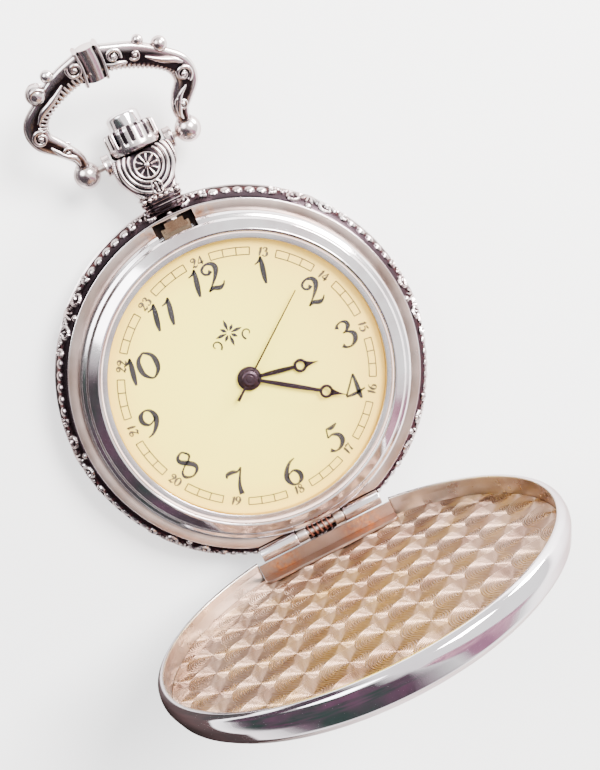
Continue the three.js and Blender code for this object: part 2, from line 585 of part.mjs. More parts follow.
function addKeyless() {
  const clutch = ringY(0.47, 0.92, 5.5, 6.8).subtract(ringY(0.62, 1.2, 6.0, 6.35));
  add('sliding_pinion', clutch, metal(STEEL, 0.3));
  const lever = sheet([[-3.4, 8.2], [0.4, 8.95], [0.4, 8.1], [-3.2, 7.4]], 5.66, 5.86);
  add('setting_lever', lever.add(rod(0.22, 4.95, 5.8, 0, 8.6, 8)), metal(STEEL, 0.3));
  const yoke = sheet([[-3.5, 4.6], [-2.6, 4.5], [-0.45, 6.05], [-0.6, 6.4], [-3.3, 5.5]], 5.66, 5.86);
  add('yoke', yoke.add(box(-0.72, -0.55, 6.08, 6.26, 5.1, 5.8)), metal(STEEL, 0.3));
}

addCase();
addDial();
addHands();
addPendant();
addCrown();
addLatch();
addBow();
addLid();
addHinge();
addTrain();
addMovementFrame();
addMotor();
addKeyless();

export default watch;
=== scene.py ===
import math

import bmesh
import bpy
import numpy as np
from mathutils import Matrix, Vector


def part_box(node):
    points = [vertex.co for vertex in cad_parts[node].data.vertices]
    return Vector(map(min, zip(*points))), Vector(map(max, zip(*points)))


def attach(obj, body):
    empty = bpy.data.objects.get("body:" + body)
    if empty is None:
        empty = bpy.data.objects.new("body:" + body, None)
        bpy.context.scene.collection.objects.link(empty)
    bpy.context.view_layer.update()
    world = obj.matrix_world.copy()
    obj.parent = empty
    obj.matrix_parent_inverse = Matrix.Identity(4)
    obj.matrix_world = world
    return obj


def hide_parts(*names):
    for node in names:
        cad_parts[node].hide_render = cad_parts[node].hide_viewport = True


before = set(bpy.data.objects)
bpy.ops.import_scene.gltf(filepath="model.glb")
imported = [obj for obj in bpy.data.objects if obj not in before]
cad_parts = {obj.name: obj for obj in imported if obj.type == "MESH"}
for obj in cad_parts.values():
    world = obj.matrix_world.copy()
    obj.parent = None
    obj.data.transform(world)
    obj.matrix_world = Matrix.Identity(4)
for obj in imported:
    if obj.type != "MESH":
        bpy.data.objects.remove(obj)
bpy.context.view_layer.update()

# ------------------------------------------------------------------ sizes, millimetres
# The watch's own axes: +Z out of the dial, +Y towards the crown, +X towards 3 o'clock.
MM = 0.001


def low_mm(node):
    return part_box(node)[0] / MM


def high_mm(node):
    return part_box(node)[1] / MM


CASE_R = high_mm("mid_case").x
SEAT_Z = high_mm("mid_case").z
SEAT_R = 21.6
BORE_R = 19.7
BACK_Z = low_mm("mid_case").z
BEZEL_R = high_mm("bezel").x
BEZEL_TOP = high_mm("bezel").z
APERTURE_R = 17.0
CRYSTAL_R = high_mm("crystal").x
CRYSTAL_LOW = low_mm("crystal").z
CRYSTAL_TOP = high_mm("crystal").z
DIAL_R = high_mm("dial").x
DIAL_TOP = high_mm("dial").z
DIAL_TURN = math.radians(-1.6)
HOUR_TURN = math.radians(100.3)
MINUTE_TURN = math.radians(124)
SECOND_TURN = math.radians(51)
HOUR_Z = low_mm("hour_hand").z
MINUTE_Z = low_mm("minute_hand").z
SECOND_Z = low_mm("second_hand").z

STEM_Z = 4.6
CROWN_R = high_mm("crown").x
CROWN_LOW = low_mm("crown").y
CROWN_TOP = high_mm("crown").y
BUTTON_R = high_mm("crown_button").x
BUTTON_TOP = high_mm("crown_button").y
BOW_Y = 30.0
BOW_TILT = math.radians(30)
BOW_SHIFT = -0.1
BALL_U = 6.6
BALL_R = 1.6
BOW_THICK = 2.2

HINGE_Y = -21.1
HINGE_Z = 7.2
HINGE_HALF = high_mm("hinge_tube_right").x
TUBE_IN = low_mm("hinge_tube_right").x
TUBE_R = 0.95
KNUCKLE_R = 0.82
LID_OPEN = math.radians(88)
LID_R = high_mm("lid_shell").x
LID_WALL_R = 22.85
PLATE_R = 22.78
PLATE_Z = 10.15  # the lid's heights are given closed
PLATE_THICK = 0.3
CHORD_Y = -20.5


# ------------------------------------------------------------------ mesh helpers
def table(*columns):
    """Numbers and arrays put side by side as columns of one array."""
    return np.stack(np.broadcast_arrays(*columns), -1)


def unit(rows):
    return rows / (np.linalg.norm(rows, axis=1)[:, None] + 1e-12)


def travel(points):
    """Distance along a path from its first point."""
    return np.concatenate([[0], np.cumsum(np.linalg.norm(np.diff(points, axis=0), axis=1))])


def round_angles(count):
    return np.arange(count) * 2 * math.pi / count


def dome(distance, half):
    """Height of a round bead or bar: 1 in the middle, 0 at half its width."""
    return np.sqrt(np.clip(1 - (distance / half)**2, 0, None))


def smooth_path(points, steps):
    """Catmull-Rom curve through rows of numbers; every column is carried along."""
    rows = np.asarray(points, float)
    ends = np.vstack([2 * rows[0] - rows[1], rows, 2 * rows[-1] - rows[-2]])
    out = []
    for i in range(len(rows) - 1):
        a, b, c, d = ends[i:i + 4]
        for t in np.arange(steps) / steps:
            out.append(0.5 * (2 * b + (c - a) * t + (2 * a - 5 * b + 4 * c - d) * t**2
                              + (3 * b - a - 3 * c + d) * t**3))
    out.append(rows[-1])
    return np.array(out)


def filleted(points, steps=4):
    """A closed outline whose corners [x, y, radius] become arcs."""
    out = []
    count = len(points)
    for i, (x, y, radius) in enumerate(points):
        here = Vector((x, y))
        before = Vector(points[i - 1][:2]) - here
        after = Vector(points[(i + 1) % count][:2]) - here
        if radius <= 0:
            out.append((x, y))
            continue
        half = before.angle(after) / 2
        reach = min(radius / math.tan(half), before.length * 0.49, after.length * 0.49)
        start = here + before.normalized() * reach
        end = here + after.normalized() * reach
        for step in range(steps + 1):
            t = step / steps
            p = start * (1 - t)**2 + here * 2 * t * (1 - t) + end * t**2
            out.append((p.x, p.y))
    return out


def ring_points(profile, sides, wave=None):
    """Turns [radius, height] points about Z into a grid, sides x points x 3."""
    angle = round_angles(sides)[:, None]
    radius, height = np.asarray(profile, float).T
    if wave is not None:
        radius = radius + wave(angle, height[None, :])
    return table(radius * np.cos(angle), radius * np.sin(angle), height)


class Piece:
    """Collects grids of points into one mesh. Lengths are in millimetres."""

    def __init__(self):
        self.points = []
        self.faces = []
        self.relief = []

    def grid(self, points, wrap_u=False, wrap_v=False, relief=None, flip=False):
        nu, nv = points.shape[:2]
        base = len(self.points)
        self.points.extend(map(tuple, points.reshape(-1, 3)))
        self.relief.extend(np.ones(nu * nv) if relief is None else relief.reshape(-1))
        for i in range(nu if wrap_u else nu - 1):
            for j in range(nv if wrap_v else nv - 1):
                a, b = i * nv + j, ((i + 1) % nu) * nv + j
                c, d = ((i + 1) % nu) * nv + (j + 1) % nv, i * nv + (j + 1) % nv
                face = (base + a, base + b, base + c, base + d)
                self.faces.append(face[::-1] if flip else face)

    def turned(self, profile, sides=192, closed=True, wave=None):
        self.grid(ring_points(profile, sides, wave), wrap_u=True, wrap_v=closed)

    def sweep(self, centres, side, up, half_width, half_height, around=20):
        """A tube of elliptic section along centres, closed to a point at both ends."""
        angle = round_angles(around)[None, :, None]
        w = np.broadcast_to(half_width, len(centres))[:, None, None]
        h = np.broadcast_to(half_height, len(centres))[:, None, None]
        rings = (centres[:, None, :] + side[:, None, :] * w * np.cos(angle)
                 + up[:, None, :] * h * np.sin(angle))
        self.capped(rings, centres)

    def capped(self, rings, centres, relief=None):
        """A grid of rings whose ends are drawn together to the path's first and last point."""
        tips = [np.repeat(centres[k][None, None, :], rings.shape[1], 1) for k in (0, -1)]
        self.grid(np.concatenate([tips[0], rings, tips[1]]), wrap_v=True, relief=relief, flip=True)

    def tube(self, centres, radius, around=12):
        """A round tube; its frame is carried along the path."""
        centres = np.asarray(centres, float)
        along = np.gradient(centres, axis=0)
        along /= np.linalg.norm(along, axis=1)[:, None]
        side = np.empty_like(centres)
        start = np.array([0.0, 0.0, 1.0])
        if abs(along[0] @ start) > 0.9:
            start = np.array([1.0, 0.0, 0.0])
        for k, direction in enumerate(along):
            start = start - direction * (start @ direction)
            start /= np.linalg.norm(start)
            side[k] = start
        self.sweep(centres, side, np.cross(along, side), radius, radius, around)

    def ball(self, centre, radius, squash=(1, 1, 1), around=24):
        lat = np.linspace(-math.pi / 2, math.pi / 2, around // 2 + 1)
        profile = np.stack([radius * np.cos(lat), radius * np.sin(lat)], -1)
        grid = ring_points(profile, around) * np.array(squash) + np.array(centre)
        self.grid(grid, wrap_u=True)

    def slab(self, outline, low, high, bevel=0.0):
        """An upright wall round a flat outline, with bevelled edges and both faces."""
        flat = np.asarray(outline, float)
        if np.sum(np.cross(flat, np.roll(flat, -1, 0))) < 0:
            flat = flat[::-1]
        after = unit(np.roll(flat, -1, 0) - flat)
        before = np.roll(after, 1, 0)
        inward = unit(table(-(after + before)[:, 1], (after + before)[:, 0]))
        inner = flat + inward * bevel
        layers = [(inner, low), (flat, low + bevel), (flat, high - bevel), (inner, high)]
        if bevel == 0:
            layers = [(flat, low), (flat, high)]
        base = len(self.points)
        count = len(flat)
        for shape, z in layers:
            self.points.extend((x, y, z) for x, y in shape)
            self.relief.extend([1.0] * count)
        for k in range(len(layers) - 1):
            for i in range(count):
                j = (i + 1) % count
                a = base + k * count
                self.faces.append((a + i, a + j, a + count + j, a + count + i))
        self.faces.append(tuple(range(base + count - 1, base - 1, -1)))
        top = base + (len(layers) - 1) * count
        self.faces.append(tuple(range(top, top + count)))

    def ribbon(self, rows):
        """A stroke printed on the dial; rows are [x, y, width]."""
        rows = np.asarray(rows, float)
        along = unit(np.gradient(rows[:, :2], axis=0))
        across = table(-along[:, 1], along[:, 0]) * rows[:, 2:3] / 2
        left, right = (rows[:, :2] + across).T, (rows[:, :2] - across).T
        low, high = DIAL_TOP, DIAL_TOP + INK_HIGH
        base = len(self.points)
        edges = [table(*left, low), table(*right, low), table(*right, high), table(*left, high)]
        self.grid(np.stack(edges, 1), wrap_v=True)
        last = base + (len(rows) - 1) * 4
        self.faces.append((base, base + 1, base + 2, base + 3))
        self.faces.append((last + 3, last + 2, last + 1, last))

    def build(self, name, material, turn=None, sharp=40.0, cut=None):
        mesh = bpy.data.meshes.new(name)
        mesh.from_pydata([(x * MM, y * MM, z * MM) for x, y, z in self.points], [], self.faces)
        if turn is not None:
            mesh.transform(turn)
        layer = mesh.attributes.new("relief", "FLOAT", "POINT")
        layer.data.foreach_set("value", np.asarray(self.relief, np.float32))
        mend(mesh)
        mesh.materials.append(material)
        obj = bpy.data.objects.new(name, mesh)
        bpy.context.scene.collection.objects.link(obj)
        for cutter in cut or []:
            cut_away(obj, cutter)
        obj.data.shade_smooth()
        obj.data.set_sharp_from_angle(angle=math.radians(sharp))
        return obj


def mend(mesh):
    """Welds the seams and poles, and points the faces outwards."""
    work = bmesh.new()
    work.from_mesh(mesh)
    bmesh.ops.remove_doubles(work, verts=work.verts, dist=1e-7)
    bmesh.ops.dissolve_degenerate(work, edges=work.edges, dist=1e-8)
    bmesh.ops.recalc_face_normals(work, faces=work.faces)
    work.to_mesh(mesh)
    work.free()


def cut_away(obj, cutter):
    """Subtracts a box (x0, x1, y0, y1, z0, z1, turn); turn moves the box to where the mesh stands."""
    x0, x1, y0, y1, z0, z1, turn = cutter
    corners = [(x, y, z) for x in (x0, x1) for y in (y0, y1) for z in (z0, z1)]
    faces = [(0, 1, 3, 2), (4, 6, 7, 5), (0, 4, 5, 1), (2, 3, 7, 6), (0, 2, 6, 4), (1, 5, 7, 3)]
    mesh = bpy.data.meshes.new("cutter")
    mesh.from_pydata([tuple(c * MM for c in p) for p in corners], [], faces)
    # The cut's walls take a near-black metal: painted shade inside the notches and slots.
    mesh.materials.append(RECESS_PAINTED_SHADE)
    if turn is not None:
        mesh.transform(turn)
    tool = bpy.data.objects.new("cutter", mesh)
    bpy.context.scene.collection.objects.link(tool)
    modifier = obj.modifiers.new("cut", "BOOLEAN")
    modifier.object = tool
    modifier.operation = "DIFFERENCE"
    modifier.solver = "EXACT"
    modifier.material_mode = "TRANSFER"
    view = bpy.context.evaluated_depsgraph_get()
    result = bpy.data.meshes.new_from_object(obj.evaluated_get(view))
    obj.modifiers.clear()
    obj.data = result
    bpy.data.objects.remove(tool)



def stroke_height(s, t, strokes):
    """Relief of round-topped strokes on a grid: rows [s, t, half width, height]."""
    height = np.zeros(np.broadcast(s, t).shape)
    for stroke in strokes:
        for a, b, half, top in stroke:
            height = np.maximum(height, top * dome(np.hypot(s - a, t - b), half))
    return height


def spiral_rows(centre, start, end, turns, phase, half, steps=26):
    """A scroll: rows [s, t, half width, height] winding in from radius start to end."""
    k = np.linspace(0, 1, steps)
    angle = phase + turns * 2 * math.pi * k
    radius = start + (end - start) * k
    return table(centre[0] + radius * np.cos(angle), centre[1] + radius * np.sin(angle),
                 half * (1 - 0.35 * k), 1.0)


# ------------------------------------------------------------------ materials
BLACK, WHITE = (0, 0, 0), (1, 1, 1)
METAL_EDGE = (0.52, 0.43, 0.42)  # tint of grazing reflections
PLATE_EDGE = (0.95, 0.90, 0.85)
WEAR = 0.25  # unevenness of a metal's polish
SCRATCHES = (1, 7, 1)  # the scratch noise is squeezed along Y


class Shader:
    """A node material, with short names for the nodes it is made of."""

    def __init__(self, name):
        self.material = bpy.data.materials.new(name)
        self.material.use_nodes = True
        self.nodes = self.material.node_tree.nodes
        self.place = self.nodes.new("ShaderNodeTexCoord").outputs["Object"]

    def put(self, socket, value):
        """Sets a socket to a number, a vector, a colour or another node's output."""
        if isinstance(value, bpy.types.NodeSocket):
            self.material.node_tree.links.new(value, socket)
        elif socket.type == "RGBA":
            socket.default_value = (*value, 1)
        else:
            socket.default_value = value

    def node(self, kind, output, inputs, **settings):
        node = self.nodes.new("ShaderNode" + kind)
        for key, value in settings.items():
            setattr(node, key, value)
        for key, value in inputs.items():
            self.put(node.inputs[key], value)
        return node.outputs[output]

    def noise(self, scale, detail=3.0, stretch=None):
        source = self.place
        if stretch:
            source = self.node("Mapping", "Vector", {"Vector": source, "Scale": stretch})
        return self.node("TexNoise", "Fac", {"Vector": source, "Scale": scale, "Detail": detail})

    def ramp(self, source, *stops):
        """A colour ramp over (position, colour) stops."""
        node = self.nodes.new("ShaderNodeValToRGB")
        elements = node.color_ramp.elements
        while len(elements) < len(stops):
            elements.new(0.5)
        for element, (position, colour) in zip(elements, stops):
            element.position = position
            element.color = (*colour, 1)
        self.put(node.inputs["Fac"], source)
        return node.outputs["Color"]

    def mix(self, factor, a, b):
        """A mix of two colours; 0, 6, 7 and output 2 are a mix node's sockets for colours."""
        return self.node("Mix", 2, {0: factor, 6: a, 7: b}, data_type="RGBA")

    def span(self, source, low, high, start=0.0, end=1.0):
        """Maps start..end to low..high."""
        return self.node("MapRange", "Result", {"Value": source, "From Min": start, "From Max": end,
                                                "To Min": low, "To Max": high})

    def bump(self, source, strength, distance):
        return self.node("Bump", "Normal", {"Height": source, "Strength": strength, "Distance": distance})

    def math(self, operation, *values):
        return self.node("Math", 0, dict(enumerate(values)), operation=operation)

    def vector(self, operation, *values, output="Vector"):
        return self.node("VectorMath", output, dict(enumerate(values)), operation=operation)

    def done(self, sockets):
        for name, value in sockets.items():
            self.put(self.nodes["Principled BSDF"].inputs[name], value)
        return self.material


def rust_patch(s, colour, spots):
    """Orange-brown stain: (x, y, z, reach) spots in millimetres, broken up by noise."""
    total = 0.0
    for x, y, z, reach in spots:
        near = s.vector("DISTANCE", s.place, (x * MM, y * MM, z * MM), output="Value")
        total = s.math("MAXIMUM", total, s.span(near, 0, 1, reach * MM, reach * MM * 0.3))
    broken = s.math("MULTIPLY_ADD", s.noise(1500, 5), 2.6, -0.95)
    mask = s.math("MINIMUM", s.math("MAXIMUM", s.math("MULTIPLY", total, broken), 0.0), 0.9)
    stain = s.ramp(s.noise(2600, 2), (0.35, (0.30, 0.10, 0.04)), (0.65, (0.62, 0.30, 0.12)))
    return s.mix(mask, colour, stain)


def metal(name, bright, tint, rough, patina_and_shade=None, grain=0.02, rust=None, shade_reach=0.0):
    """Worn plated metal: cloudy tint, uneven polish, fine scratches; recesses darkened by low relief and
    ambient occlusion, painted shade that also stands for their patina.
    """
    s = Shader(name)
    colour = s.ramp(s.noise(160, 4), (0.38, bright), (0.66, tint))
    if rust:
        colour = rust_patch(s, colour, rust)
    # Painted shade: low relief and occluded corners are mixed towards the near-black colour, which also
    # stands for patina in the hollows.
    if patina_and_shade:
        relief = s.node("Attribute", "Fac", {}, attribute_name="relief")
        raised = s.math("MULTIPLY_ADD", s.noise(900, 2), 0.35, relief)
        colour = s.mix(s.ramp(raised, (0.30, BLACK), (0.72, WHITE)), patina_and_shade, colour)
        open_sky = s.node("AmbientOcclusion", "AO", {"Distance": shade_reach * MM}, samples=6)
        colour = s.mix(s.ramp(open_sky, (0.35, BLACK), (0.80, WHITE)), patina_and_shade, colour)
    return s.done({"Base Color": colour, "Metallic": 1.0, "Specular Tint": METAL_EDGE,
                   "Roughness": s.span(s.noise(420, 5), rough * (1 - WEAR), rough * (1 + 2 * WEAR)),
                   "Normal": s.bump(s.noise(1600, 3, SCRATCHES), grain, 0.0001)})


def paint(name, colour, second, rough, scale=300):
    s = Shader(name)
    return s.done({"Base Color": s.ramp(s.noise(scale, 4), (0.35, colour), (0.7, second)),
                   "Roughness": s.span(s.noise(scale * 4, 3), rough * 0.8, rough * 1.2),
                   "Specular IOR Level": 0.15,
                   "Normal": s.bump(s.noise(4000, 2), 0.05, 0.00005)})


def dial_material():
    """Cream lacquer, darker and more orange towards the rim and pulled towards peach on the right."""
    s = Shader("dial_cream")
    radius = s.vector("LENGTH", s.vector("MULTIPLY", s.place, (1, 1, 0)), output="Value")
    colour = s.ramp(s.span(radius, 0, 1, 0.006, 0.0178), (0.0, (0.98, 0.86, 0.115)),
                    (0.6, (0.98, 0.81, 0.105)), (1.0, (0.88, 0.54, 0.09)))
    right = s.span(s.node("SeparateXYZ", "X", {0: s.place}), 0, 0.45, 0.002, 0.018)
    colour = s.mix(right, colour, (0.98, 0.57, 0.14))
    return s.done({"Base Color": s.mix(s.span(s.noise(130, 4), 0.0, 0.25), colour, (0.95, 0.74, 0.14)),
                   "Roughness": s.span(s.noise(700, 3), 0.35, 0.55), "Specular IOR Level": 0.2,
                   "Normal": s.bump(s.noise(2500, 3), 0.06, 0.00005)})


def glass_material():
    s = Shader("crystal_glass")
    return s.done({"Transmission Weight": 1.0, "IOR": 1.45, "Alpha": 0.04,
                   "Base Color": s.ramp(s.noise(90, 2), (0.3, WHITE), (0.7, (0.98, 0.96, 0.95))),
                   "Roughness": s.span(s.noise(500, 3), 0.0, 0.05)})


PERL_PITCH_X = 5.3  # engine-turned discs: spacing within a row and between staggered rows
PERL_PITCH_Y = 4.4
PERL_R = 3.3
PERL_RING = 0.28  # spacing of the grooves within a disc
PERL_DISH = 0.02


def perlage_material(centre, axis_x, axis_y):
    """Overlapping brushed discs. Later discs cover earlier ones, row after row."""
    s = Shader("perlage_plate")
    m = s.math
    offset = s.vector("SUBTRACT", s.place, centre)
    x, y = [m("DIVIDE", s.vector("DOT_PRODUCT", offset, axis, output="Value"), MM)
            for axis in (axis_x, axis_y)]
    top_row = m("FLOOR", m("DIVIDE", m("ADD", y, PERL_R), PERL_PITCH_Y))
    best_x, best_y = None, None
    for row_back in (2, 1, 0):
        row = m("SUBTRACT", top_row, row_back)
        along = m("SUBTRACT", x, m("MULTIPLY", m("FLOORED_MODULO", row, 2), PERL_PITCH_X / 2))
        last = m("FLOOR", m("DIVIDE", m("ADD", along, PERL_R), PERL_PITCH_X))
        dy = m("SUBTRACT", y, m("MULTIPLY", row, PERL_PITCH_Y))
        for column_back in (1, 0):
            dx = m("SUBTRACT", along, m("MULTIPLY", m("SUBTRACT", last, column_back), PERL_PITCH_X))
            if best_x is None:
                best_x, best_y = dx, dy
                continue
            inside = m("LESS_THAN", hypotenuse(s, dx, dy), PERL_R)
            outside = m("SUBTRACT", 1.0, inside)
            best_x = m("ADD", m("MULTIPLY", dx, inside), m("MULTIPLY", best_x, outside))
            best_y = m("ADD", m("MULTIPLY", dy, inside), m("MULTIPLY", best_y, outside))
    radius = hypotenuse(s, best_x, best_y)
    groove = m("MULTIPLY_ADD", m("SINE", m("MULTIPLY", radius, 2 * math.pi / PERL_RING)), 0.5, 0.5)
    height = m("MULTIPLY", groove, m("MULTIPLY_ADD", s.noise(1300, 3), 0.9, 0.4))
    colour = s.ramp(s.noise(170, 4), (0.3, (0.23, 0.13, 0.095)), (0.52, (0.36, 0.235, 0.17)),
                    (0.75, (0.31, 0.19, 0.085)))
    from_rim = m("MULTIPLY", m("SUBTRACT", PERL_R, radius), 3.0)
    edge = m("SUBTRACT", 1.0, m("SMOOTH_MIN", from_rim, 1.0, 0.2))
    spokes = [s.node("VectorMath", "Vector", {0: axis, "Scale": amount}, operation="SCALE")
              for axis, amount in ((axis_x, best_x), (axis_y, best_y))]
    return s.done({"Base Color": s.mix(m("MULTIPLY", edge, 0.25), colour, (0.35, 0.26, 0.22)),
                   "Roughness": s.span(s.noise(800, 3), 0.38, 0.46),
                   "Normal": s.bump(height, 1.0, 0.0002), "Metallic": 1.0, "Anisotropic": 0.9,
                   "Specular Tint": PLATE_EDGE, "Tangent": s.vector("ADD", *spokes)})


def hypotenuse(s, a, b):
    return s.math("SQRT", s.math("ADD", s.math("MULTIPLY", a, a), s.math("MULTIPLY", b, b)))


CHROME = metal("chrome_worn", (0.82, 0.79, 0.80), (0.62, 0.54, 0.55), 0.10)
MIRROR = metal("lid_mirror", (0.84, 0.82, 0.85), (0.74, 0.69, 0.73), 0.06, grain=0.01)
LID_INSIDE = metal("lid_inside", (0.78, 0.73, 0.68), (0.62, 0.54, 0.48), 0.26, grain=0.05)
SATIN = metal("satin_seat", (0.50, 0.40, 0.36), (0.33, 0.24, 0.20), 0.28, grain=0.06,
              rust=[(-1.5, -21, 7, 4.5), (5.0, -20.8, 7, 4.0), (-2.6, 20.8, 7, 3.0), (3.4, 20.8, 7, 2.6)])
# Its near-black colour is painted shade in the carved hollows, also standing for their patina.
CAST = metal("cast_relief", (0.80, 0.74, 0.73), (0.52, 0.41, 0.40), 0.17, patina_and_shade=(0.035, 0.025, 0.03),
             grain=0.05, shade_reach=0.55)
# The catch is coloured dark brown as painted shade of the slot it sits in; the brown tone gives its gold-ish
# highlights.
CATCH_PAINTED_SHADE = metal("catch_painted_slot_shade", (0.34, 0.25, 0.17), (0.14, 0.08, 0.05), 0.25, grain=0.15)
# Near-black metal for the walls of cut notches and slots: painted shade.
RECESS_PAINTED_SHADE = metal("recess_painted_shade", (0.05, 0.04, 0.04), (0.12, 0.06, 0.04), 0.45, grain=0.2)
STEEL = metal("steel_aged", (0.55, 0.50, 0.48), (0.40, 0.30, 0.25), 0.30, grain=0.06)
RUSTED = metal("rusted_spring", (0.30, 0.13, 0.09), (0.10, 0.03, 0.03), 0.45, grain=0.15)
LEAF = metal("plate_tan", (0.33, 0.245, 0.20), (0.23, 0.15, 0.12), 0.30, grain=0.15,
             rust=[(-6, -23, 8, 3), (5, -23, 8, 3.5)])
BRASS = metal("brass_train", (0.80, 0.62, 0.32), (0.62, 0.45, 0.22), 0.28)
COPPER = metal("copper_wire", (0.72, 0.35, 0.18), (0.50, 0.20, 0.10), 0.35, grain=0.2)
INK = paint("numeral_ink", (0.018, 0.016, 0.017), (0.035, 0.03, 0.032), 0.5)
FINE_INK = paint("track_ink", (0.06, 0.045, 0.03), (0.10, 0.075, 0.05), 0.5)
HAND = metal("hand_plum", (0.050, 0.032, 0.040), (0.025, 0.018, 0.022), 0.33, grain=0.05)
CREAM = dial_material()
GLASS = glass_material()
SEAL = paint("clear_gasket", (0.80, 0.62, 0.56), (0.70, 0.50, 0.45), 0.35)
RUBBER = paint("black_rubber", (0.03, 0.03, 0.03), (0.05, 0.05, 0.05), 0.7)
HOLDER = paint("holder_plastic", (0.75, 0.74, 0.70), (0.68, 0.66, 0.62), 0.5)
BOARD = paint("board_green", (0.03, 0.16, 0.07), (0.05, 0.22, 0.09), 0.4, 900)
CHIP = paint("chip_black", (0.02, 0.02, 0.02), (0.04, 0.04, 0.04), 0.5)


# ------------------------------------------------------------------ case
SECTORS = 8  # bead groups round the band
BAND_SIDES = 1440
BAND_R = 23.0  # radius at which lengths along the band are measured
BEAD_PITCH, BEAD_HALF, BEAD_T = 1.5, 0.62, 2.15  # T is the distance down the band from the seat
FINE_PITCH, FINE_HALF, FINE_T = 0.75, 0.34, 4.75
CARVED_T = (0.12, 5.3)
BEAD_ROOM = 2.6  # bead pitches at each end of a sector that carry beads
RECESS = 0.34


def band_strokes():
    """Foliage in the middle of a sector: s along the band, t down it from the seat."""
    strokes = [table([0], 0.95, 0.42, 1.0)]
    fan, stem = np.linspace(0, 1, 12), np.linspace(0, 1, 16)
    for side in (-1, 1):
        lead = math.pi / 2 - side * 1.2
        strokes.append(spiral_rows((side * 2.3, 1.9), 1.25, 0.25, side * 1.3, lead, 0.26))
        strokes.append(spiral_rows((side * 4.8, 2.3), 0.95, 0.2, -side * 1.2, math.pi / 2, 0.24))
        for lean, reach in ((0.35, 1.9), (0.95, 1.6), (1.6, 1.1)):
            strokes.append(table(side * lean * fan * 1.1, 3.9 - reach * 1.5 * fan * (1 - 0.25 * fan),
                                 0.30 - 0.16 * fan, 1.0))
        strokes.append(table(side * (0.4 + 5.4 * stem), 3.7 - 0.7 * np.sin(stem * math.pi), 0.20, 0.8))
    return strokes


def make_case():
    outside = smooth_path([[SEAT_R, SEAT_Z], [SEAT_R + 0.15, 6.8], [22.3, 6.3], [22.9, 5.6],
                           [23.35, 4.6], [CASE_R, 3.5], [23.1, 2.5], [22.5, BACK_Z]], 8)
    along = unit(np.gradient(outside, axis=0))
    t = travel(outside)[None, :]
    sector = 2 * math.pi / SECTORS
    angle = round_angles(BAND_SIDES)[:, None]
    s = ((angle + sector / 2) % sector - sector / 2) * BAND_R  # 0 in the middle of the foliage
    from_edge = BAND_R * sector / 2 - np.abs(s)
    bead = from_edge - np.round(from_edge / BEAD_PITCH) * BEAD_PITCH
    fine = s - np.round(s / FINE_PITCH) * FINE_PITCH
    height = np.where(from_edge < BEAD_ROOM * BEAD_PITCH, dome(np.hypot(bead, t - BEAD_T), BEAD_HALF),
                      stroke_height(s, t, band_strokes()))
    height = np.maximum(height, 0.7 * dome(np.hypot(fine, t - FINE_T), FINE_HALF))
    for line, half in ((0.30, 0.13), (4.2, 0.16)):
        height = np.maximum(height, 0.9 * dome(t - line, half))
    height = np.where((t > CARVED_T[0]) & (t < CARVED_T[1]), height, 1.0)
    drop = (height - 1) * RECESS
    radius = outside[:, 0] - drop * along[:, 1]
    band = table(radius * np.cos(angle), radius * np.sin(angle), outside[:, 1] + drop * along[:, 0])
    inside = [[BORE_R, BACK_Z], [BORE_R, SEAT_Z - 0.15], [BORE_R + 0.15, SEAT_Z], [SEAT_R - 0.12, SEAT_Z]]
    piece = Piece()
    piece.grid(np.concatenate([band, ring_points(inside, BAND_SIDES)], 1), wrap_u=True, wrap_v=True,
               relief=np.concatenate([height, np.ones((BAND_SIDES, len(inside)))], 1), flip=True)
    notch = (-HINGE_HALF - 0.4, HINGE_HALF + 0.4, -24, -20.0, 6.15, 8, None)
    slot = (-2.6, 2.6, 19, SEAT_R - 0.2, 3.5, 8, None)
    body = piece.build("case_band", CAST, sharp=50, cut=[notch, slot])
    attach(body, "case")
    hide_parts("mid_case")
    seat = body.data
    seat.materials.append(SATIN)
    for face in seat.polygons:
        if face.normal.z > 0.9 and face.center.z > (SEAT_Z - 0.1) * MM:
            face.material_index = len(seat.materials) - 1

    back = Piece()
    back.turned(filleted([[0, 0, 0], [16, 0, 2], [19.5, 0.25, 4], [21.8, 0.9, 1], [22.5, 2.0, 0.15],
                          [19.6, 2.0, 0], [19.6, 2.6, 0.1], [18.9, 2.6, 0.1], [18.9, 1.3, 0.2],
                          [15, 0.85, 0.5], [0, 0.8, 0]], 5), 192)
    cover = back.build("back_shell", MIRROR)
    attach(cover, "case")
    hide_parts("back_cover")


def make_bezel():
    piece = Piece()
    piece.turned(filleted([
        [19.0, 6.3, 0.05], [19.6, 6.3, 0.05], [19.6, SEAT_Z + 0.05, 0], [BEZEL_R, SEAT_Z + 0.05, 0.12],
        [BEZEL_R, 7.75, 0.25], [19.95, 8.15, 0.3], [19.55, 8.25, 0.25], [19.25, 8.62, 0.3],
        [18.15, BEZEL_TOP, 0.25], [17.85, 9.15, 0.12],
        [17.85, 8.55, 0], [APERTURE_R, 8.5, 0.08], [APERTURE_R, 7.5, 0.08], [19.0, 7.5, 0],
    ], 6), 256)
    notches = [(-2.5, 2.5, 18.5, 21, 6, 7.45, None), (-2.5, 2.5, 19.0, 21, 7, 8.4, None)]
    bezel = piece.build("bezel_ring", CHROME, sharp=35, cut=notches)
    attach(bezel, "case")
    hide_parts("bezel")

    glass = Piece()
    glass.turned(filleted([[0, CRYSTAL_LOW, 0], [CRYSTAL_R, CRYSTAL_LOW, 0], [CRYSTAL_R, 9.1, 0.1],
                           [14, 9.38, 3], [8, 9.58, 4], [0, CRYSTAL_TOP, 0]], 8), 192)
    crystal = glass.build("crystal_dome", GLASS, sharp=30)
    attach(crystal, "case")
    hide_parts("crystal")

    seal = Piece()
    seal.turned(filleted([[17.63, 8.6, 0.05], [17.8, 8.6, 0.05], [17.8, 9.05, 0.06],
                          [17.63, 9.05, 0.06]]), 192)
    gasket = seal.build("crystal_seal", SEAL)
    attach(gasket, "case")
    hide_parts("crystal_gasket")


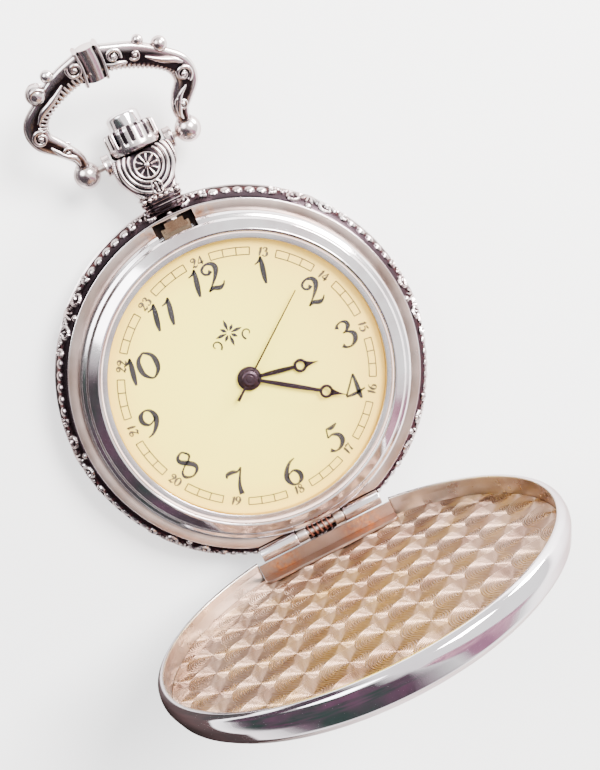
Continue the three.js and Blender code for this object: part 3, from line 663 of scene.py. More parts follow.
# ------------------------------------------------------------------ dial
# Strokes of each figure in a cell one unit high: [x, y, width] rows.
FIGURES = {
    "0": (0.68, [[[.34, 1, .05], [.12, .8, .1], [.06, .5, .14], [.12, .2, .1], [.34, 0, .05],
                  [.56, .2, .1], [.62, .5, .14], [.56, .8, .1], [.34, 1, .05]]]),
    "1": (0.42, [[[.38, 1, .05], [.33, .7, .13], [.26, .3, .13], [.22, 0, .06]],
                 [[.38, 1, .04], [.28, .86, .06], [.12, .8, .02]]]),
    "2": (0.66, [[[.36, .72, .12], [.25, .63, .07], [.12, .7, .06], [.11, .87, .07], [.28, .99, .06],
                  [.48, .93, .11], [.54, .74, .14], [.44, .5, .1], [.24, .23, .05], [.06, .03, .05]],
                 [[.06, .03, .04], [.22, .1, .1], [.42, .03, .12], [.56, .08, .06], [.64, .2, .03]]]),
    "3": (0.64, [[[.1, .8, .12], [.16, .93, .06], [.32, .99, .05], [.47, .91, .1], [.48, .75, .12],
                  [.36, .61, .06], [.24, .57, .03]],
                 [[.24, .57, .03], [.42, .55, .06], [.57, .4, .13], [.54, .17, .13], [.36, .01, .06],
                  [.18, .03, .06], [.08, .15, .12]]]),
    "4": (0.70, [[[.5, 1, .04], [.3, .7, .05], [.02, .29, .05]],
                 [[.02, .28, .05], [.34, .26, .09], [.7, .31, .04]],
                 [[.5, 1, .05], [.49, .6, .11], [.47, .25, .13], [.47, 0, .07]]]),
    "5": (0.66, [[[.22, .93, .04], [.4, .9, .11], [.6, .99, .04]],
                 [[.22, .93, .04], [.19, .76, .04], [.16, .58, .04]],
                 [[.16, .58, .04], [.34, .64, .06], [.54, .52, .12], [.58, .29, .14], [.44, .07, .09],
                  [.24, 0, .05], [.08, .11, .12]]]),
    "6": (0.66, [[[.6, .97, .03], [.4, .88, .07], [.2, .62, .12], [.12, .34, .14], [.2, .08, .08],
                  [.38, 0, .05], [.56, .14, .12], [.57, .38, .12], [.42, .54, .06], [.24, .47, .04],
                  [.15, .34, .04]]]),
    "7": (0.66, [[[.05, .8, .04], [.12, .93, .1], [.3, .94, .11], [.46, .89, .06], [.62, .99, .04]],
                 [[.62, .99, .04], [.46, .66, .06], [.34, .34, .1], [.3, .02, .14]]]),
    "8": (0.66, [[[.5, .86, .06], [.34, .99, .05], [.16, .86, .08], [.18, .68, .12], [.36, .54, .14],
                  [.55, .38, .13], [.58, .18, .09], [.38, 0, .05], [.14, .07, .08], [.1, .26, .06],
                  [.24, .45, .04], [.44, .62, .05], [.53, .76, .06], [.5, .86, .06]]]),
}
FIGURES["9"] = (0.66, [[[0.68 - x, 1 - y, w] for x, y, w in FIGURES["6"][1][0]]])
HOUR_FIGURE_R = 13.1
HOUR_FIGURE_H = 3.3
TRACK_IN = 15.0
TRACK_OUT = 15.9
INK_HIGH = 0.03


FIGURE_GAP = 0.08
THINNEST = 0.035
MINUTE = math.pi / 30


def polar(radius, angle):
    """A point on the dial; the angle runs clockwise from 12 o'clock."""
    return radius * np.sin(angle), radius * np.cos(angle)


def write_number(piece, text, centre, height, turn=0.0, boldness=1.0, squeeze=1.0):
    """Figures side by side about a centre; turn is in radians, anticlockwise."""
    widths = [FIGURES[c][0] * squeeze for c in text]
    cursor = -(sum(widths) + FIGURE_GAP * (len(text) - 1)) / 2
    cos, sin = math.cos(turn), math.sin(turn)
    for character, width in zip(text, widths):
        for stroke in FIGURES[character][1]:
            x, y, thick = smooth_path(stroke, 6).T
            x, y = (x * squeeze + cursor) * height, (y - 0.5) * height
            piece.ribbon(table(centre[0] + x * cos - y * sin, centre[1] + x * sin + y * cos,
                               np.maximum(thick, THINNEST) * height * boldness))
        cursor += width + FIGURE_GAP


def make_dial():
    plate = Piece()
    plate.turned(filleted([[1.15, 7.0, 0.03], [DIAL_R, 7.0, 0.05], [DIAL_R, DIAL_TOP, 0.05],
                           [1.15, DIAL_TOP, 0.03]]), 192)
    turn = Matrix.Rotation(DIAL_TURN, 4, "Z")
    dial = plate.build("dial_plate", CREAM, turn)
    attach(dial, "case")
    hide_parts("dial")

    figures = Piece()
    for hour in range(1, 13):
        write_number(figures, str(hour), polar(HOUR_FIGURE_R, hour * 5 * MINUTE), HOUR_FIGURE_H,
                     boldness=1.45, squeeze=1.15)
    add_ornament(figures)
    print_on_dial(figures.build("dial_figures", INK, turn))

    track = Piece()
    for hour in range(12):
        for minute in range(1, 5):
            angle = (hour * 5 + minute) * MINUTE
            track.ribbon([[*polar(TRACK_IN, angle), 0.13], [*polar(TRACK_OUT, angle), 0.13]])
        arc = np.linspace(hour * 5 + 1, hour * 5 + 4, 19) * MINUTE
        for radius in (TRACK_IN, TRACK_OUT):
            track.ribbon(table(*polar(radius, arc), 0.12))
        angle = hour * 5 * MINUTE
        upright = math.pi if 4 <= hour <= 8 else 0
        number = str(hour + 12 if hour else 24)
        write_number(track, number, polar((TRACK_IN + TRACK_OUT) / 2, angle), 1.08, upright - angle, 2.0)
    print_on_dial(track.build("dial_track", FINE_INK, turn))


PETALS = 8
ORNAMENT_Y = 6.1


def add_ornament(piece):
    """A plain printed fleuron below 12 o'clock: eight petals and two scrolls."""
    for k in range(PETALS):
        reach = 1.15 if k % 2 else 1.7
        petal = [(0.28, 0.08), (0.62 * reach, 0.40), (reach, 0.05)]
        x, y = polar(np.array([radius for radius, _ in petal]), k * 2 * math.pi / PETALS)
        piece.ribbon(smooth_path(table(x, ORNAMENT_Y + y, [width for _, width in petal]), 6))
    k = np.linspace(0, 1, 30)
    radius = 0.75 * (1 - 0.7 * k)
    for side in (-1, 1):
        angle = math.pi / 2 + side * (2.6 - 5.0 * k)
        piece.ribbon(table(side * 2.05 + radius * np.cos(angle),
                           ORNAMENT_Y - 0.9 + radius * np.sin(angle), 0.24 - 0.12 * k))


def print_on_dial(obj):
    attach(obj, "case")


# ------------------------------------------------------------------ hands
def hand_turn(angle):
    return Matrix.Rotation(DIAL_TURN - angle, 4, "Z")


def mirrored(half, reach):
    """An outline from half widths along the hand, up one side and down the other."""
    return np.concatenate([table(half, reach), table(-half, reach)[::-1]])


def pomme_hand(name, node, body, sizes, angle):
    """A hand with a ring near its tip: hub, swelling blade, ring and a fine curved point."""
    hub, eye_y, tip_y, blade, low, high = sizes
    piece = Piece()
    bevel = 0.03
    k = np.linspace(0, 1, 16)
    piece.slab(mirrored(blade * (0.42 + 0.58 * np.sin(math.pi * (0.12 + 0.72 * k))),
                        hub * 0.7 + (eye_y - 0.75 - hub * 0.7) * k), low, high, bevel)
    k = np.linspace(0, 1, 18)
    piece.slab(mirrored(0.44 * (1 - k)**1.9 + 0.045, eye_y + 0.62 + (tip_y - eye_y - 0.62) * k),
               low, high, bevel * 0.6)
    ring = filleted([[0.50, low, 0.03], [0.86, low, 0.03], [0.86, high, 0.06], [0.50, high, 0.06]], 3)
    eye = ring_points(ring, 40) + np.array([0, eye_y, 0])
    piece.grid(eye, wrap_u=True, wrap_v=True)
    bore = 0.98 if hub > 1.4 else 0.65
    collar = filleted([[bore, low, 0.02], [hub, low, 0.04], [hub, high, 0.06], [bore, high, 0.02]], 3)
    piece.turned(collar, 64)
    hand = piece.build(name, HAND, hand_turn(angle))
    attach(hand, body)
    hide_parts(node)


def make_hands():
    pomme_hand("hour_pomme", "hour_hand", "hours", (1.5, 6.45, 8.7, 0.30, HOUR_Z, HOUR_Z + 0.15), HOUR_TURN)
    pomme_hand("minute_pomme", "minute_hand", "minutes",
               (1.25, 9.65, 12.3, 0.30, MINUTE_Z, MINUTE_Z + 0.12), MINUTE_TURN)
    piece = Piece()
    low, high = SECOND_Z, SECOND_Z + 0.08
    piece.slab([(0.12, 0.8), (0.065, 12.1), (-0.065, 12.1), (-0.12, 0.8)], low, high, 0.02)
    piece.slab([(0.19, -3.05), (0.12, -0.8), (-0.12, -0.8), (-0.19, -3.05)], low, high, 0.02)
    cap = filleted([[0.33, low, 0], [1.0, low, 0.03], [1.0, low + 0.16, 0.06], [0.72, low + 0.26, 0.08],
                    [0.45, low + 0.24, 0.05], [0.40, low + 0.30, 0.04], [0.01, low + 0.3, 0],
                    [0.01, low + 0.1, 0], [0.33, low + 0.1, 0]], 4)
    piece.turned(cap, 64)
    hand = piece.build("second_needle", HAND, hand_turn(SECOND_TURN))
    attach(hand, "seconds")
    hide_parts("second_hand")


# ------------------------------------------------------------------ crown and pendant
FLUTES = 20
FLUTE_DEEP = 0.16
CROWN_SIDES = 720


def to_stem(profile, sides, wave=None):
    """Turned grid about the crown's axis: heights run along +Y."""
    x, z, y = np.moveaxis(ring_points(profile, sides, wave), -1, 0)
    return table(x, y, STEM_Z - z)


def make_crown():
    low, top = CROWN_LOW, CROWN_TOP
    recess = BUTTON_R + 0.12

    def groove(angle, y):
        """0 on the skirt, 1 in a groove; the grooves run out above the rounded lower rim."""
        wave = np.cos(angle * FLUTES)
        across = 1 / (1 + np.exp(-(wave - 0.1) * 14))
        rise = np.clip((y - (low + 0.95)) / 0.15, 0, 1)
        return across * rise * (y > low + 0.5)

    def flute(angle, y):
        return -FLUTE_DEEP * groove(angle, y)

    edge = [[2.5, low], [2.9, low], [3.1, low + 0.1], [CROWN_R, low + 0.4]]
    rows = [[CROWN_R, low + 0.4 + (top - 0.5 - low - 0.4) * k / 14] for k in range(1, 15)]
    shoulder = [[CROWN_R - 0.07, top - 0.25], [CROWN_R - 0.2, top - 0.08], [CROWN_R - 0.4, top]]
    outside = np.array(edge + rows + shoulder)
    inside = np.array([[recess, top], [recess, 31.9], [0.02, 31.9], [0.02, 31.3], [2.5, 31.3]])
    piece = Piece()
    skin = to_stem(outside, CROWN_SIDES, flute)
    core = to_stem(inside, CROWN_SIDES)
    turn = round_angles(CROWN_SIDES)
    relief = np.ones((CROWN_SIDES, len(outside) + len(inside)))
    relief[:, :len(outside)] = 1 - groove(turn[:, None], outside[None, :, 1])
    piece.grid(np.concatenate([skin, core], 1), wrap_u=True, wrap_v=True, relief=relief)
    crown = piece.build("crown_fluted", CAST, sharp=35)
    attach(crown, "crown")
    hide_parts("crown")

    cap = Piece()
    top = BUTTON_TOP
    profile = filleted([[0.02, 33.0, 0], [0.95, 33.0, 0], [0.95, 33.9, 0.05], [1.6, 33.9, 0.05],
                        [1.6, 33.0, 0], [BUTTON_R, 33.0, 0.1], [BUTTON_R, top - 0.4, 0.45],
                        [1.5, top - 0.05, 0.5], [0.02, top, 0]], 6)
    cap.grid(to_stem(np.array(profile), 128), wrap_u=True, wrap_v=True)
    for side in (-1, 1):
        prong = filleted([[0.005, 31.0, 0], [0.18, 31.0, 0.05], [0.18, 33.1, 0], [0.005, 33.1, 0]], 3)
        cap.grid(to_stem(np.array(prong), 20) + np.array([side * 0.8, 0, 0]), wrap_u=True, wrap_v=True)
    button = cap.build("crown_push_button", CHROME, sharp=40)
    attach(button, "button")
    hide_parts("crown_button")


ROSETTE_SPOKES = 10
ROSETTE = (0.1, 28.1)  # on the neck's front, across and up


def neck_strokes():
    """Relief on the neck's front: a rosette, arcs round it and a small oval flower."""
    cx, cy = ROSETTE
    ring, oval = np.linspace(0, 2 * math.pi, 60), np.linspace(0, 2 * math.pi, 36)
    strokes = [table(cx + 1.5 * np.cos(ring), cy + 1.5 * np.sin(ring), 0.17, 1.0),
               table([cx], cy, 0.36, 1.1),
               table(cx + 0.62 * np.cos(oval), 25.35 + 0.85 * np.sin(oval), 0.16, 1.0),
               table(cx, np.linspace(24.9, 25.8, 9), 0.22, 0.9)]
    reach = np.linspace(0.3, 1.25, 14)
    for a in round_angles(ROSETTE_SPOKES):
        strokes.append(table(cx + reach * np.cos(a), cy + reach * np.sin(a),
                             0.07 + 0.12 * (reach - 0.3), 0.9))
    arc = np.linspace(-0.75, 1.4, 34)
    for radius, half in ((2.15, 0.2), (2.75, 0.22), (3.4, 0.24), (4.05, 0.22)):
        for side in (-1, 1):
            strokes.append(table(cx + side * radius * np.cos(arc) * 0.97, cy + 0.2 - radius * np.sin(arc),
                                 half, 0.95 - 0.1 * arc))
    return strokes


NECK_SIDES = 360
NECK_BORE = 1.36
NECK_SQUARENESS = 3.0
GROOVES_LOW, GROOVES_HIGH, GROOVE_PITCH = 23.6, 24.7, 0.45
BEAD_ROW_Z = 2.25  # the foot's row of beads, from the stem's middle
NECK_ROWS = [  # half width, half depth and place along the stem
    [2.3, 2.3, 22.3], [2.45, 2.45, 23.3], [2.75, 2.6, 23.95], [2.5, 2.45, 24.25], [2.8, 2.6, 24.55],
    [2.55, 2.4, 24.9], [2.75, 2.5, 25.5], [3.2, 2.6, 26.3], [3.75, 2.65, 27.2], [4.05, 2.7, 28.1],
    [4.1, 2.68, 28.9], [3.95, 2.55, 29.6], [3.6, 2.35, 30.0], [2.9, 1.9, 30.05],
]


def make_neck():
    width, depth, y = smooth_path(NECK_ROWS, 12).T[:, :, None]
    angle = round_angles(NECK_SIDES)
    cos, sin = np.cos(angle), np.sin(angle)
    x = width * cos
    z = depth * np.sign(sin) * (1 - np.abs(cos)**NECK_SQUARENESS + 1e-9)**(1 / NECK_SQUARENESS)
    grooves = np.clip(np.sin((y - GROOVES_LOW) * 2 * math.pi / GROOVE_PITCH), 0, 1) * (y < GROOVES_HIGH)
    height = np.clip(np.maximum(stroke_height(x, y, neck_strokes()), grooves), 0, 1)
    x = x * (1 - 0.22 * (1 - height) / 4.0)
    z = z * (1 - 0.30 * (1 - height) / 2.7)
    bore = table(NECK_BORE * cos, np.array([[30.05], [22.3]]), STEM_Z + NECK_BORE * sin)
    piece = Piece()
    piece.grid(np.concatenate([table(x, y, STEM_Z + z), bore]), wrap_u=True, wrap_v=True,
               relief=np.concatenate([height, np.full((2, NECK_SIDES), 0.5)]))
    boss = filleted([[0.45, 3.5, 0], [1.28, 3.5, 0.1], [1.22, 4.1, 0.1], [1.3, 4.35, 0.1],
                     [1.15, 4.5, 0.12], [0.45, 4.5, 0.02]], 4)
    y, z, x = np.moveaxis(ring_points(boss, 48), -1, 0)
    for side in (-1, 1):
        piece.grid(table(side * x, BOW_Y + y, STEM_Z + z), wrap_u=True, wrap_v=True)
    for k in range(7):
        for face in (1, -1):
            piece.ball((-2.1 + 0.7 * k, 24.25, STEM_Z + face * BEAD_ROW_Z), 0.33, around=14)
    neck = piece.build("pendant_cast", CAST, sharp=60)
    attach(neck, "case")
    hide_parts("pendant_neck")


# ------------------------------------------------------------------ bow
BOW_PATH = [  # u, v, width from the left ball over the top to the right ball
    [-BALL_U, 0.7, 1.5], [-6.63, 2.5, 1.6], [-8.0, 4.5, 2.1], [-9.4, 6.3, 2.7], [-9.3, 8.1, 3.0],
    [-7.7, 9.7, 2.6], [-4.7, 11.4, 3.2], [-2.0, 12.2, 3.5], [-0.5, 12.35, 3.7], [2.0, 11.8, 3.3],
    [4.3, 10.9, 3.2], [7.0, 9.2, 2.8], [8.45, 7.6, 3.0], [8.6, 5.8, 3.0], [7.5, 4.2, 2.7],
    [6.75, 3.0, 2.2], [6.6, 1.6, 1.7], [BALL_U, 0.7, 1.5],
]

VOLUTES = [  # u, v, radius, turns, phase, thickness
    (-7.7, 11.5, 0.95, 1.4, 0.4, 0.24), (-2.6, 12.6, 0.95, 1.6, 2.6, 0.26),
    (-9.4, 6.9, 0.95, 1.6, 1.0, 0.27), (1.9, 12.2, 0.85, 1.5, -0.6, 0.25),
    (4.2, 11.3, 0.62, 1.3, 3.2, 0.2), (8.5, 6.9, 1.0, 1.6, -1.2, 0.27),
    (7.1, 3.6, 0.8, 1.5, 1.6, 0.24), (-7.4, 4.0, 0.62, 1.3, 0.2, 0.2),
]
LEAVES = [  # half width, then u, v along the leaf
    (0.42, [[-8.9, 8.6], [-7.9, 9.6], [-6.2, 10.5], [-4.6, 11.6]]),
    (0.36, [[-6.7, 1.9], [-6.9, 3.0], [-8.0, 4.0], [-8.9, 5.4]]),
    (0.42, [[8.9, 8.2], [8.0, 8.9], [6.6, 9.6], [5.2, 10.6]]),
    (0.36, [[6.5, 1.8], [6.4, 2.8], [7.1, 4.5], [8.3, 5.5]]),
    (0.34, [[3.1, 10.9], [2.3, 11.2], [1.5, 11.3], [0.6, 11.8]]),
]
KNOBS = [(-7.7, 11.5, 1.2), (-5.7, 12.9, 0.75), (7.25, 10.95, 0.93), (5.15, 12.4, 0.66)]  # u, v, radius
RINGS = [  # the collar's two edges and its band: half width, inset, sides, then u, v across the bow
    (0.3, 0.02, 20, [[-2.0, 10.15], [-1.75, 12.3], [-1.85, 14.25]]),
    (0.3, 0.02, 20, [[0.5, 10.15], [0.75, 12.3], [0.65, 14.25]]),
    (1.2, 0.18, 28, [[-0.6, 10.3], [-0.5, 12.3], [-0.55, 14.2]]),
]
RIB_PITCH, RIB_GAP = 0.55, 0.52
RIBS_ABOVE = 7.6  # v from which the bow's inner edge is ribbed
BOW_SIDES = 28


def bow_point(u, v, w=0.0):
    """Bow plane to watch axes: u across, v up the bow, w out of its front face."""
    cos, sin = math.cos(BOW_TILT), math.sin(BOW_TILT)
    return table(u + BOW_SHIFT, BOW_Y + v * cos - w * sin, STEM_Z + v * sin + w * cos)


def bow_aim(u, v, w, count):
    """A direction in the bow's own axes, repeated for each point of a path."""
    return np.repeat((bow_point(u, v, w) - bow_point(0.0, 0.0))[None, :], count, 0)


def make_bow():
    u, v, wide = smooth_path(BOW_PATH, 30).T
    flat = table(u, v)
    along = unit(np.gradient(flat, axis=0))
    side = table(along[:, 1], -along[:, 0])
    centres = bow_point(u, v)
    sides = bow_point(*side.T) - bow_point(0.0, 0.0)
    front = bow_aim(0.0, 0.0, 1.0, len(flat))
    travelled = travel(flat)
    angle = round_angles(BOW_SIDES)[None, :]
    ribs = np.clip(0.5 + 0.9 * np.cos(travelled * 2 * math.pi / RIB_PITCH), 0, 1)
    upper = np.clip((v - 7.2) / 1.5, 0, 1)
    carve = 0.30 * (ribs * upper)[:, None] * np.clip(np.cos(angle), 0, 1)**1.5
    channel = 0.34 * np.clip(np.abs(np.sin(angle)) * 2.2 - 1.2, 0, 1)
    width = wide[:, None] / 2 - carve - 0.05
    height = (BOW_THICK / 2 - 0.15) - channel
    rings = (centres[:, None, :] + sides[:, None, :] * (width * np.cos(angle))[..., None]
             + front[:, None, :] * (height * np.sin(angle))[..., None])
    relief = np.clip(1 - carve * 3.2 - channel * 3.0, 0, 1)
    piece = Piece()
    piece.capped(rings, centres, np.concatenate([relief[:1], relief, relief[-1:]]))

    last_rib = -1.0
    fade = np.linspace(0, 1, 6)
    for k in range(len(flat)):
        if v[k] < RIBS_ABOVE or travelled[k] - last_rib < RIB_GAP:
            continue
        last_rib = travelled[k]
        start = 0.05 if u[k] < -2 else 0.22
        across = flat[k] + side[k] * np.linspace(start, 0.37, 6)[:, None] * wide[k]
        for face in (-1, 1):
            piece.tube(bow_point(*across.T, face * (BOW_THICK / 2 - 0.42 - 0.32 * fade**2)), 0.17, 8)

    for end in (-1, 1):
        piece.ball(bow_point(end * BALL_U, 0.0), BALL_R, around=40)
        piece.tube(bow_point(end * BALL_U, 1.35 + 0.02 * np.arange(3)), 0.95, 24)
    for u, v, radius in KNOBS:
        piece.ball(bow_point(u, v), radius, around=28)
    for face in (-1, 1):
        for u, v, radius, turns, phase, thick in VOLUTES:
            x, y, half, _ = spiral_rows((u, v), radius, radius * 0.12, turns, phase, thick, 40).T
            piece.tube(bow_point(x, y, face * (BOW_THICK / 2 - 0.28)), half, 10)
            piece.ball(bow_point(u, v, face * (BOW_THICK / 2 - 0.2)), thick * 1.3, around=14)
        for half, points in LEAVES:
            x, y = smooth_path(points, 8).T
            k = np.linspace(0, 1, len(x))
            piece.tube(bow_point(x, y, face * (BOW_THICK / 2 - 0.3)),
                       half * np.sin(math.pi * (0.12 + 0.8 * k)), 10)
    for half, inset, count, points in RINGS:
        path = smooth_path(points, 10)
        piece.sweep(bow_point(*path.T), bow_aim(1.0, 0.0, 0.0, len(path)), front[:len(path)], half,
                    BOW_THICK / 2 - inset, count)
    bow = piece.build("bow_cast", CAST, sharp=60)
    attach(bow, "bow")
    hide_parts("bow")


# ------------------------------------------------------------------ lid
def lid_swing():
    pivot = Vector((0, HINGE_Y, HINGE_Z)) * MM
    return Matrix.Translation(pivot) @ Matrix.Rotation(LID_OPEN, 4, "X") @ Matrix.Translation(-pivot)


def perl_height(x, y):
    """Height of the topmost turned disc at a point, dished towards its middle."""
    height = np.zeros_like(x)
    top_row = np.floor((y + PERL_R) / PERL_PITCH_Y)
    for row_back in (2, 1, 0):
        row = top_row - row_back
        along = x - np.mod(row, 2) * PERL_PITCH_X / 2
        last = np.floor((along + PERL_R) / PERL_PITCH_X)
        for column_back in (1, 0):
            dx = along - (last - column_back) * PERL_PITCH_X
            dy = y - row * PERL_PITCH_Y
            reach = np.hypot(dx, dy)
            height = np.where(reach < PERL_R, PERL_DISH * (reach / PERL_R)**2, height)
    return height


LEAF_HALF = 9.2
LEAF_IN_Y = -18.0
LEAF_LIP_Z = 8.2
LEAF_LIP_HIGH = 1.7
LID_CEILING = 11.4  # the shell's inside wall is below this
PLATE_SECTORS, PLATE_RINGS = 360, 110


def make_lid():
    swing = lid_swing()
    shell = Piece()
    outside = filleted([
        [0, 13.4, 0], [14, 13.2, 6], [19, 12.9, 4], [21.8, 12.2, 2.5], [23.1, 11.1, 1.5],
        [LID_R, 9.3, 2.0], [23.6, 8.2, 0.8], [23.15, 7.85, 0.25], [22.72, 7.9, 0.15],
        [LID_WALL_R, 8.9, 0.5], [LID_WALL_R, 10.9, 0.5], [22.1, 11.5, 0.5], [18, 12.1, 2], [0, 12.7, 0],
    ], 7)
    shell.turned(outside, 288)
    gap = (-LEAF_HALF - 0.07, LEAF_HALF + 0.07, -25, CHORD_Y + 0.5, 5, PLATE_Z + 0.05, swing)
    lid = shell.build("lid_cover", MIRROR, swing, sharp=40, cut=[gap])
    lid.data.materials.append(LID_INSIDE)
    closed = swing.inverted()
    for face in lid.data.polygons:
        x, y, z = closed @ face.center / MM
        if math.hypot(x, y) < LID_WALL_R + 0.1 and z < LID_CEILING:
            face.material_index = len(lid.data.materials) - 1
    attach(lid, "lid")
    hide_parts("lid_shell")

    angle = round_angles(PLATE_SECTORS)
    reach = np.full(PLATE_SECTORS, PLATE_R)
    chord = np.sin(angle) < CHORD_Y / PLATE_R
    reach[chord] = CHORD_Y / np.sin(angle[chord])
    k = np.linspace(0, 1, PLATE_RINGS)
    x = (np.cos(angle) * reach)[:, None] * k
    y = (np.sin(angle) * reach)[:, None] * k
    front = table(x, y, PLATE_Z + perl_height(y, x))
    front[:, -1, 2] = PLATE_Z + 0.03
    back = table(x[:, ::-1], y[:, ::-1], PLATE_Z + PLATE_THICK)[:, ::8]
    middle = np.zeros((PLATE_SECTORS, 1, 3)) + np.array([0, 0, PLATE_Z + PLATE_THICK])
    plate = Piece()
    plate.grid(np.concatenate([front, back, middle], 1), wrap_u=True)
    centre = swing @ (Vector((0, 0, PLATE_Z)) * MM)
    turn = swing.to_3x3()
    perlage = perlage_material(centre, turn @ Vector((0, 1, 0)), turn @ Vector((1, 0, 0)))
    turned = plate.build("lid_turned_plate", perlage, swing, sharp=70)
    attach(turned, "lid")
    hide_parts("lid_plate")

    leaf = Piece()
    low, high = (-LEAF_HALF, CHORD_Y), (LEAF_HALF, LEAF_IN_Y)
    outline = filleted([[low[0], low[1], 0.1], [high[0], low[1], 0.1], [high[0], high[1], 1.2],
                        [low[0], high[1], 1.2]], 6)
    leaf.slab(outline, PLATE_Z - 0.4, PLATE_Z - 0.05, 0.08)
    lip_y = CHORD_Y - 0.23
    lip = filleted([[-LEAF_HALF, lip_y, 0.05], [LEAF_HALF, lip_y, 0.05], [LEAF_HALF, lip_y + 0.28, 0.05],
                    [-LEAF_HALF, lip_y + 0.28, 0.05]], 3)
    leaf.slab(lip, LEAF_LIP_Z, LEAF_LIP_Z + LEAF_LIP_HIGH, 0.05)
    strip = leaf.build("lid_leaf", LEAF, swing)
    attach(strip, "lid")
    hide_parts("lid_hinge_leaf")


# ------------------------------------------------------------------ hinge
HINGE_BORE = 0.5
BAR_STEPS = 8
SPRING_TURNS = 5
SPRING_HALF, SPRING_R, SPRING_WIRE = 1.62, 0.66, 0.14
KNUCKLE_IN = 1.9
KNUCKLE_GAP = 0.08


def tube_x(piece, outer, x0, x1):
    """A tube along the hinge's axis, with softened ends."""
    ring = filleted([[HINGE_BORE, x0, 0.03], [outer, x0, 0.12], [outer, x1, 0.12], [HINGE_BORE, x1, 0.03]], 4)
    y, z, x = np.moveaxis(ring_points(ring, 64), -1, 0)
    piece.grid(table(x, HINGE_Y + y, HINGE_Z + z), wrap_u=True, wrap_v=True)


def bar_x(piece, outline, x0, x1):
    """A bar along X whose section is an outline of (y, z) points."""
    y, z = np.array(outline).T
    piece.grid(table(np.linspace(x0, x1, BAR_STEPS)[:, None], y, z), wrap_v=True)
    end, count = len(piece.points), len(outline)
    start = end - BAR_STEPS * count
    piece.faces.append(tuple(range(end - count, end)))
    piece.faces.append(tuple(range(start + count - 1, start - 1, -1)))


def make_hinge():
    for side, name in ((-1, "left"), (1, "right")):
        x0, x1 = sorted((side * TUBE_IN, side * HINGE_HALF))
        piece = Piece()
        tube_x(piece, TUBE_R, x0, x1)
        foot = [[HINGE_Y - 0.7, 6.2, 0.1], [HINGE_Y + 0.6, 6.2, 0.1], [HINGE_Y + 0.6, 6.6, 0],
                [HINGE_Y - 0.7, 6.6, 0]]
        bar_x(piece, filleted(foot, 3), x0, x1)
        tube = piece.build("hinge_barrel_" + name, CHROME)
        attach(tube, "case")
        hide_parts("hinge_tube_" + name)

        x0, x1 = sorted((side * KNUCKLE_IN, side * (TUBE_IN - KNUCKLE_GAP)))
        piece = Piece()
        tube_x(piece, KNUCKLE_R, x0, x1)
        back = HINGE_Y - KNUCKLE_R + 0.05
        arm = [[back, HINGE_Z + 0.1, 0], [back + 0.4, HINGE_Z + 0.5, 0.1], [back + 0.75, 9.2, 0.3],
               [-20.8, 9.45, 0.08], [-20.8, 9.7, 0], [back, 9.7, 0.25]]
        bar_x(piece, filleted(arm, 4), x0, x1)
        knuckle = piece.build("lid_knuckle_barrel_" + name, STEEL, lid_swing())
        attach(knuckle, "lid")
        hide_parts("lid_knuckle_" + name)

    coil = Piece()
    k = np.linspace(0, 1, SPRING_TURNS * 24)
    angle = k * SPRING_TURNS * 2 * math.pi
    coil.tube(table(SPRING_HALF * (2 * k - 1), HINGE_Y + SPRING_R * np.cos(angle),
                    HINGE_Z + SPRING_R * np.sin(angle)), SPRING_WIRE, 10)
    spring = coil.build("hinge_coil", RUSTED)
    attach(spring, "case")
    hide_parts("hinge_spring")


# ------------------------------------------------------------------ carried-over nodes
def finish_nodes():
    """Every CAD node that still shows, or lies inside, gets a worked material."""
    groups = {
        STEEL: ["pendant_tube", "button_spring", "setting_stem", "push_sleeve", "hinge_pin",
                "bow_pin_left", "bow_pin_right", "setting_wheel", "stator", "coil_core", "battery_clamp",
                "clamp_screw", "sliding_pinion", "setting_lever", "yoke", "bridge_screw_1",
                "bridge_screw_2", "bridge_screw_3", "rotor"],
        BRASS: ["fifth_wheel", "fourth_wheel", "third_wheel", "center_wheel", "minute_wheel", "hour_wheel",
                "movement_plate", "train_bridge"],
        CHROME: ["quartz_can", "battery_cell"],
        CATCH_PAINTED_SHADE: ["lid_catch"],
        COPPER: ["coil_winding"],
        HOLDER: ["movement_holder"],
        RUBBER: ["back_gasket"],
        BOARD: ["circuit_board"],
        CHIP: ["ic_chip"],
    }
    for material, names in groups.items():
        for name in names:
            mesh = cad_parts[name].data
            mesh.materials.clear()
            mesh.materials.append(material)


# ------------------------------------------------------------------ stage
FLOOR_HALF = 0.9  # the stage is in metres
PANEL_R = 0.42
CARD_HIGH = 0.0002
CARD_COLUMNS, CARD_ROWS = 48, 16
WORLD_STRENGTH = 1.9


def make_stage():
    mesh = bpy.data.meshes.new("floor")
    corners = [(-1, -1), (1, -1), (1, 1), (-1, 1)]
    mesh.from_pydata([(x * FLOOR_HALF, y * FLOOR_HALF, 0) for x, y in corners], [], [(0, 1, 2, 3)])
    floor = bpy.data.objects.new("floor", mesh)
    bpy.context.scene.collection.objects.link(floor)
    s = Shader("pale_floor")
    pale = s.ramp(s.noise(12, 3), (0.3, (0.94, 0.94, 0.94)), (0.7, (0.90, 0.90, 0.90)))
    mesh.materials.append(s.done({"Base Color": pale, "Roughness": 0.8}))

    green_black, plum = (0.010, 0.018, 0.016), (0.040, 0.018, 0.032)
    make_panel("panel_dark", (142, 294), (5, 86), green_black, plum)
    make_panel("panel_low", (98, 190), (1, 30), plum, green_black)
    make_floor_card("card_floor", (98, 268), (0.029, 0.20), (0.05, 0.03, 0.03), (0.02, 0.02, 0.02))
    make_panel("panel_rose", (288, 322), (5, 76), (0.11, 0.05, 0.08), (0.28, 0.15, 0.19))


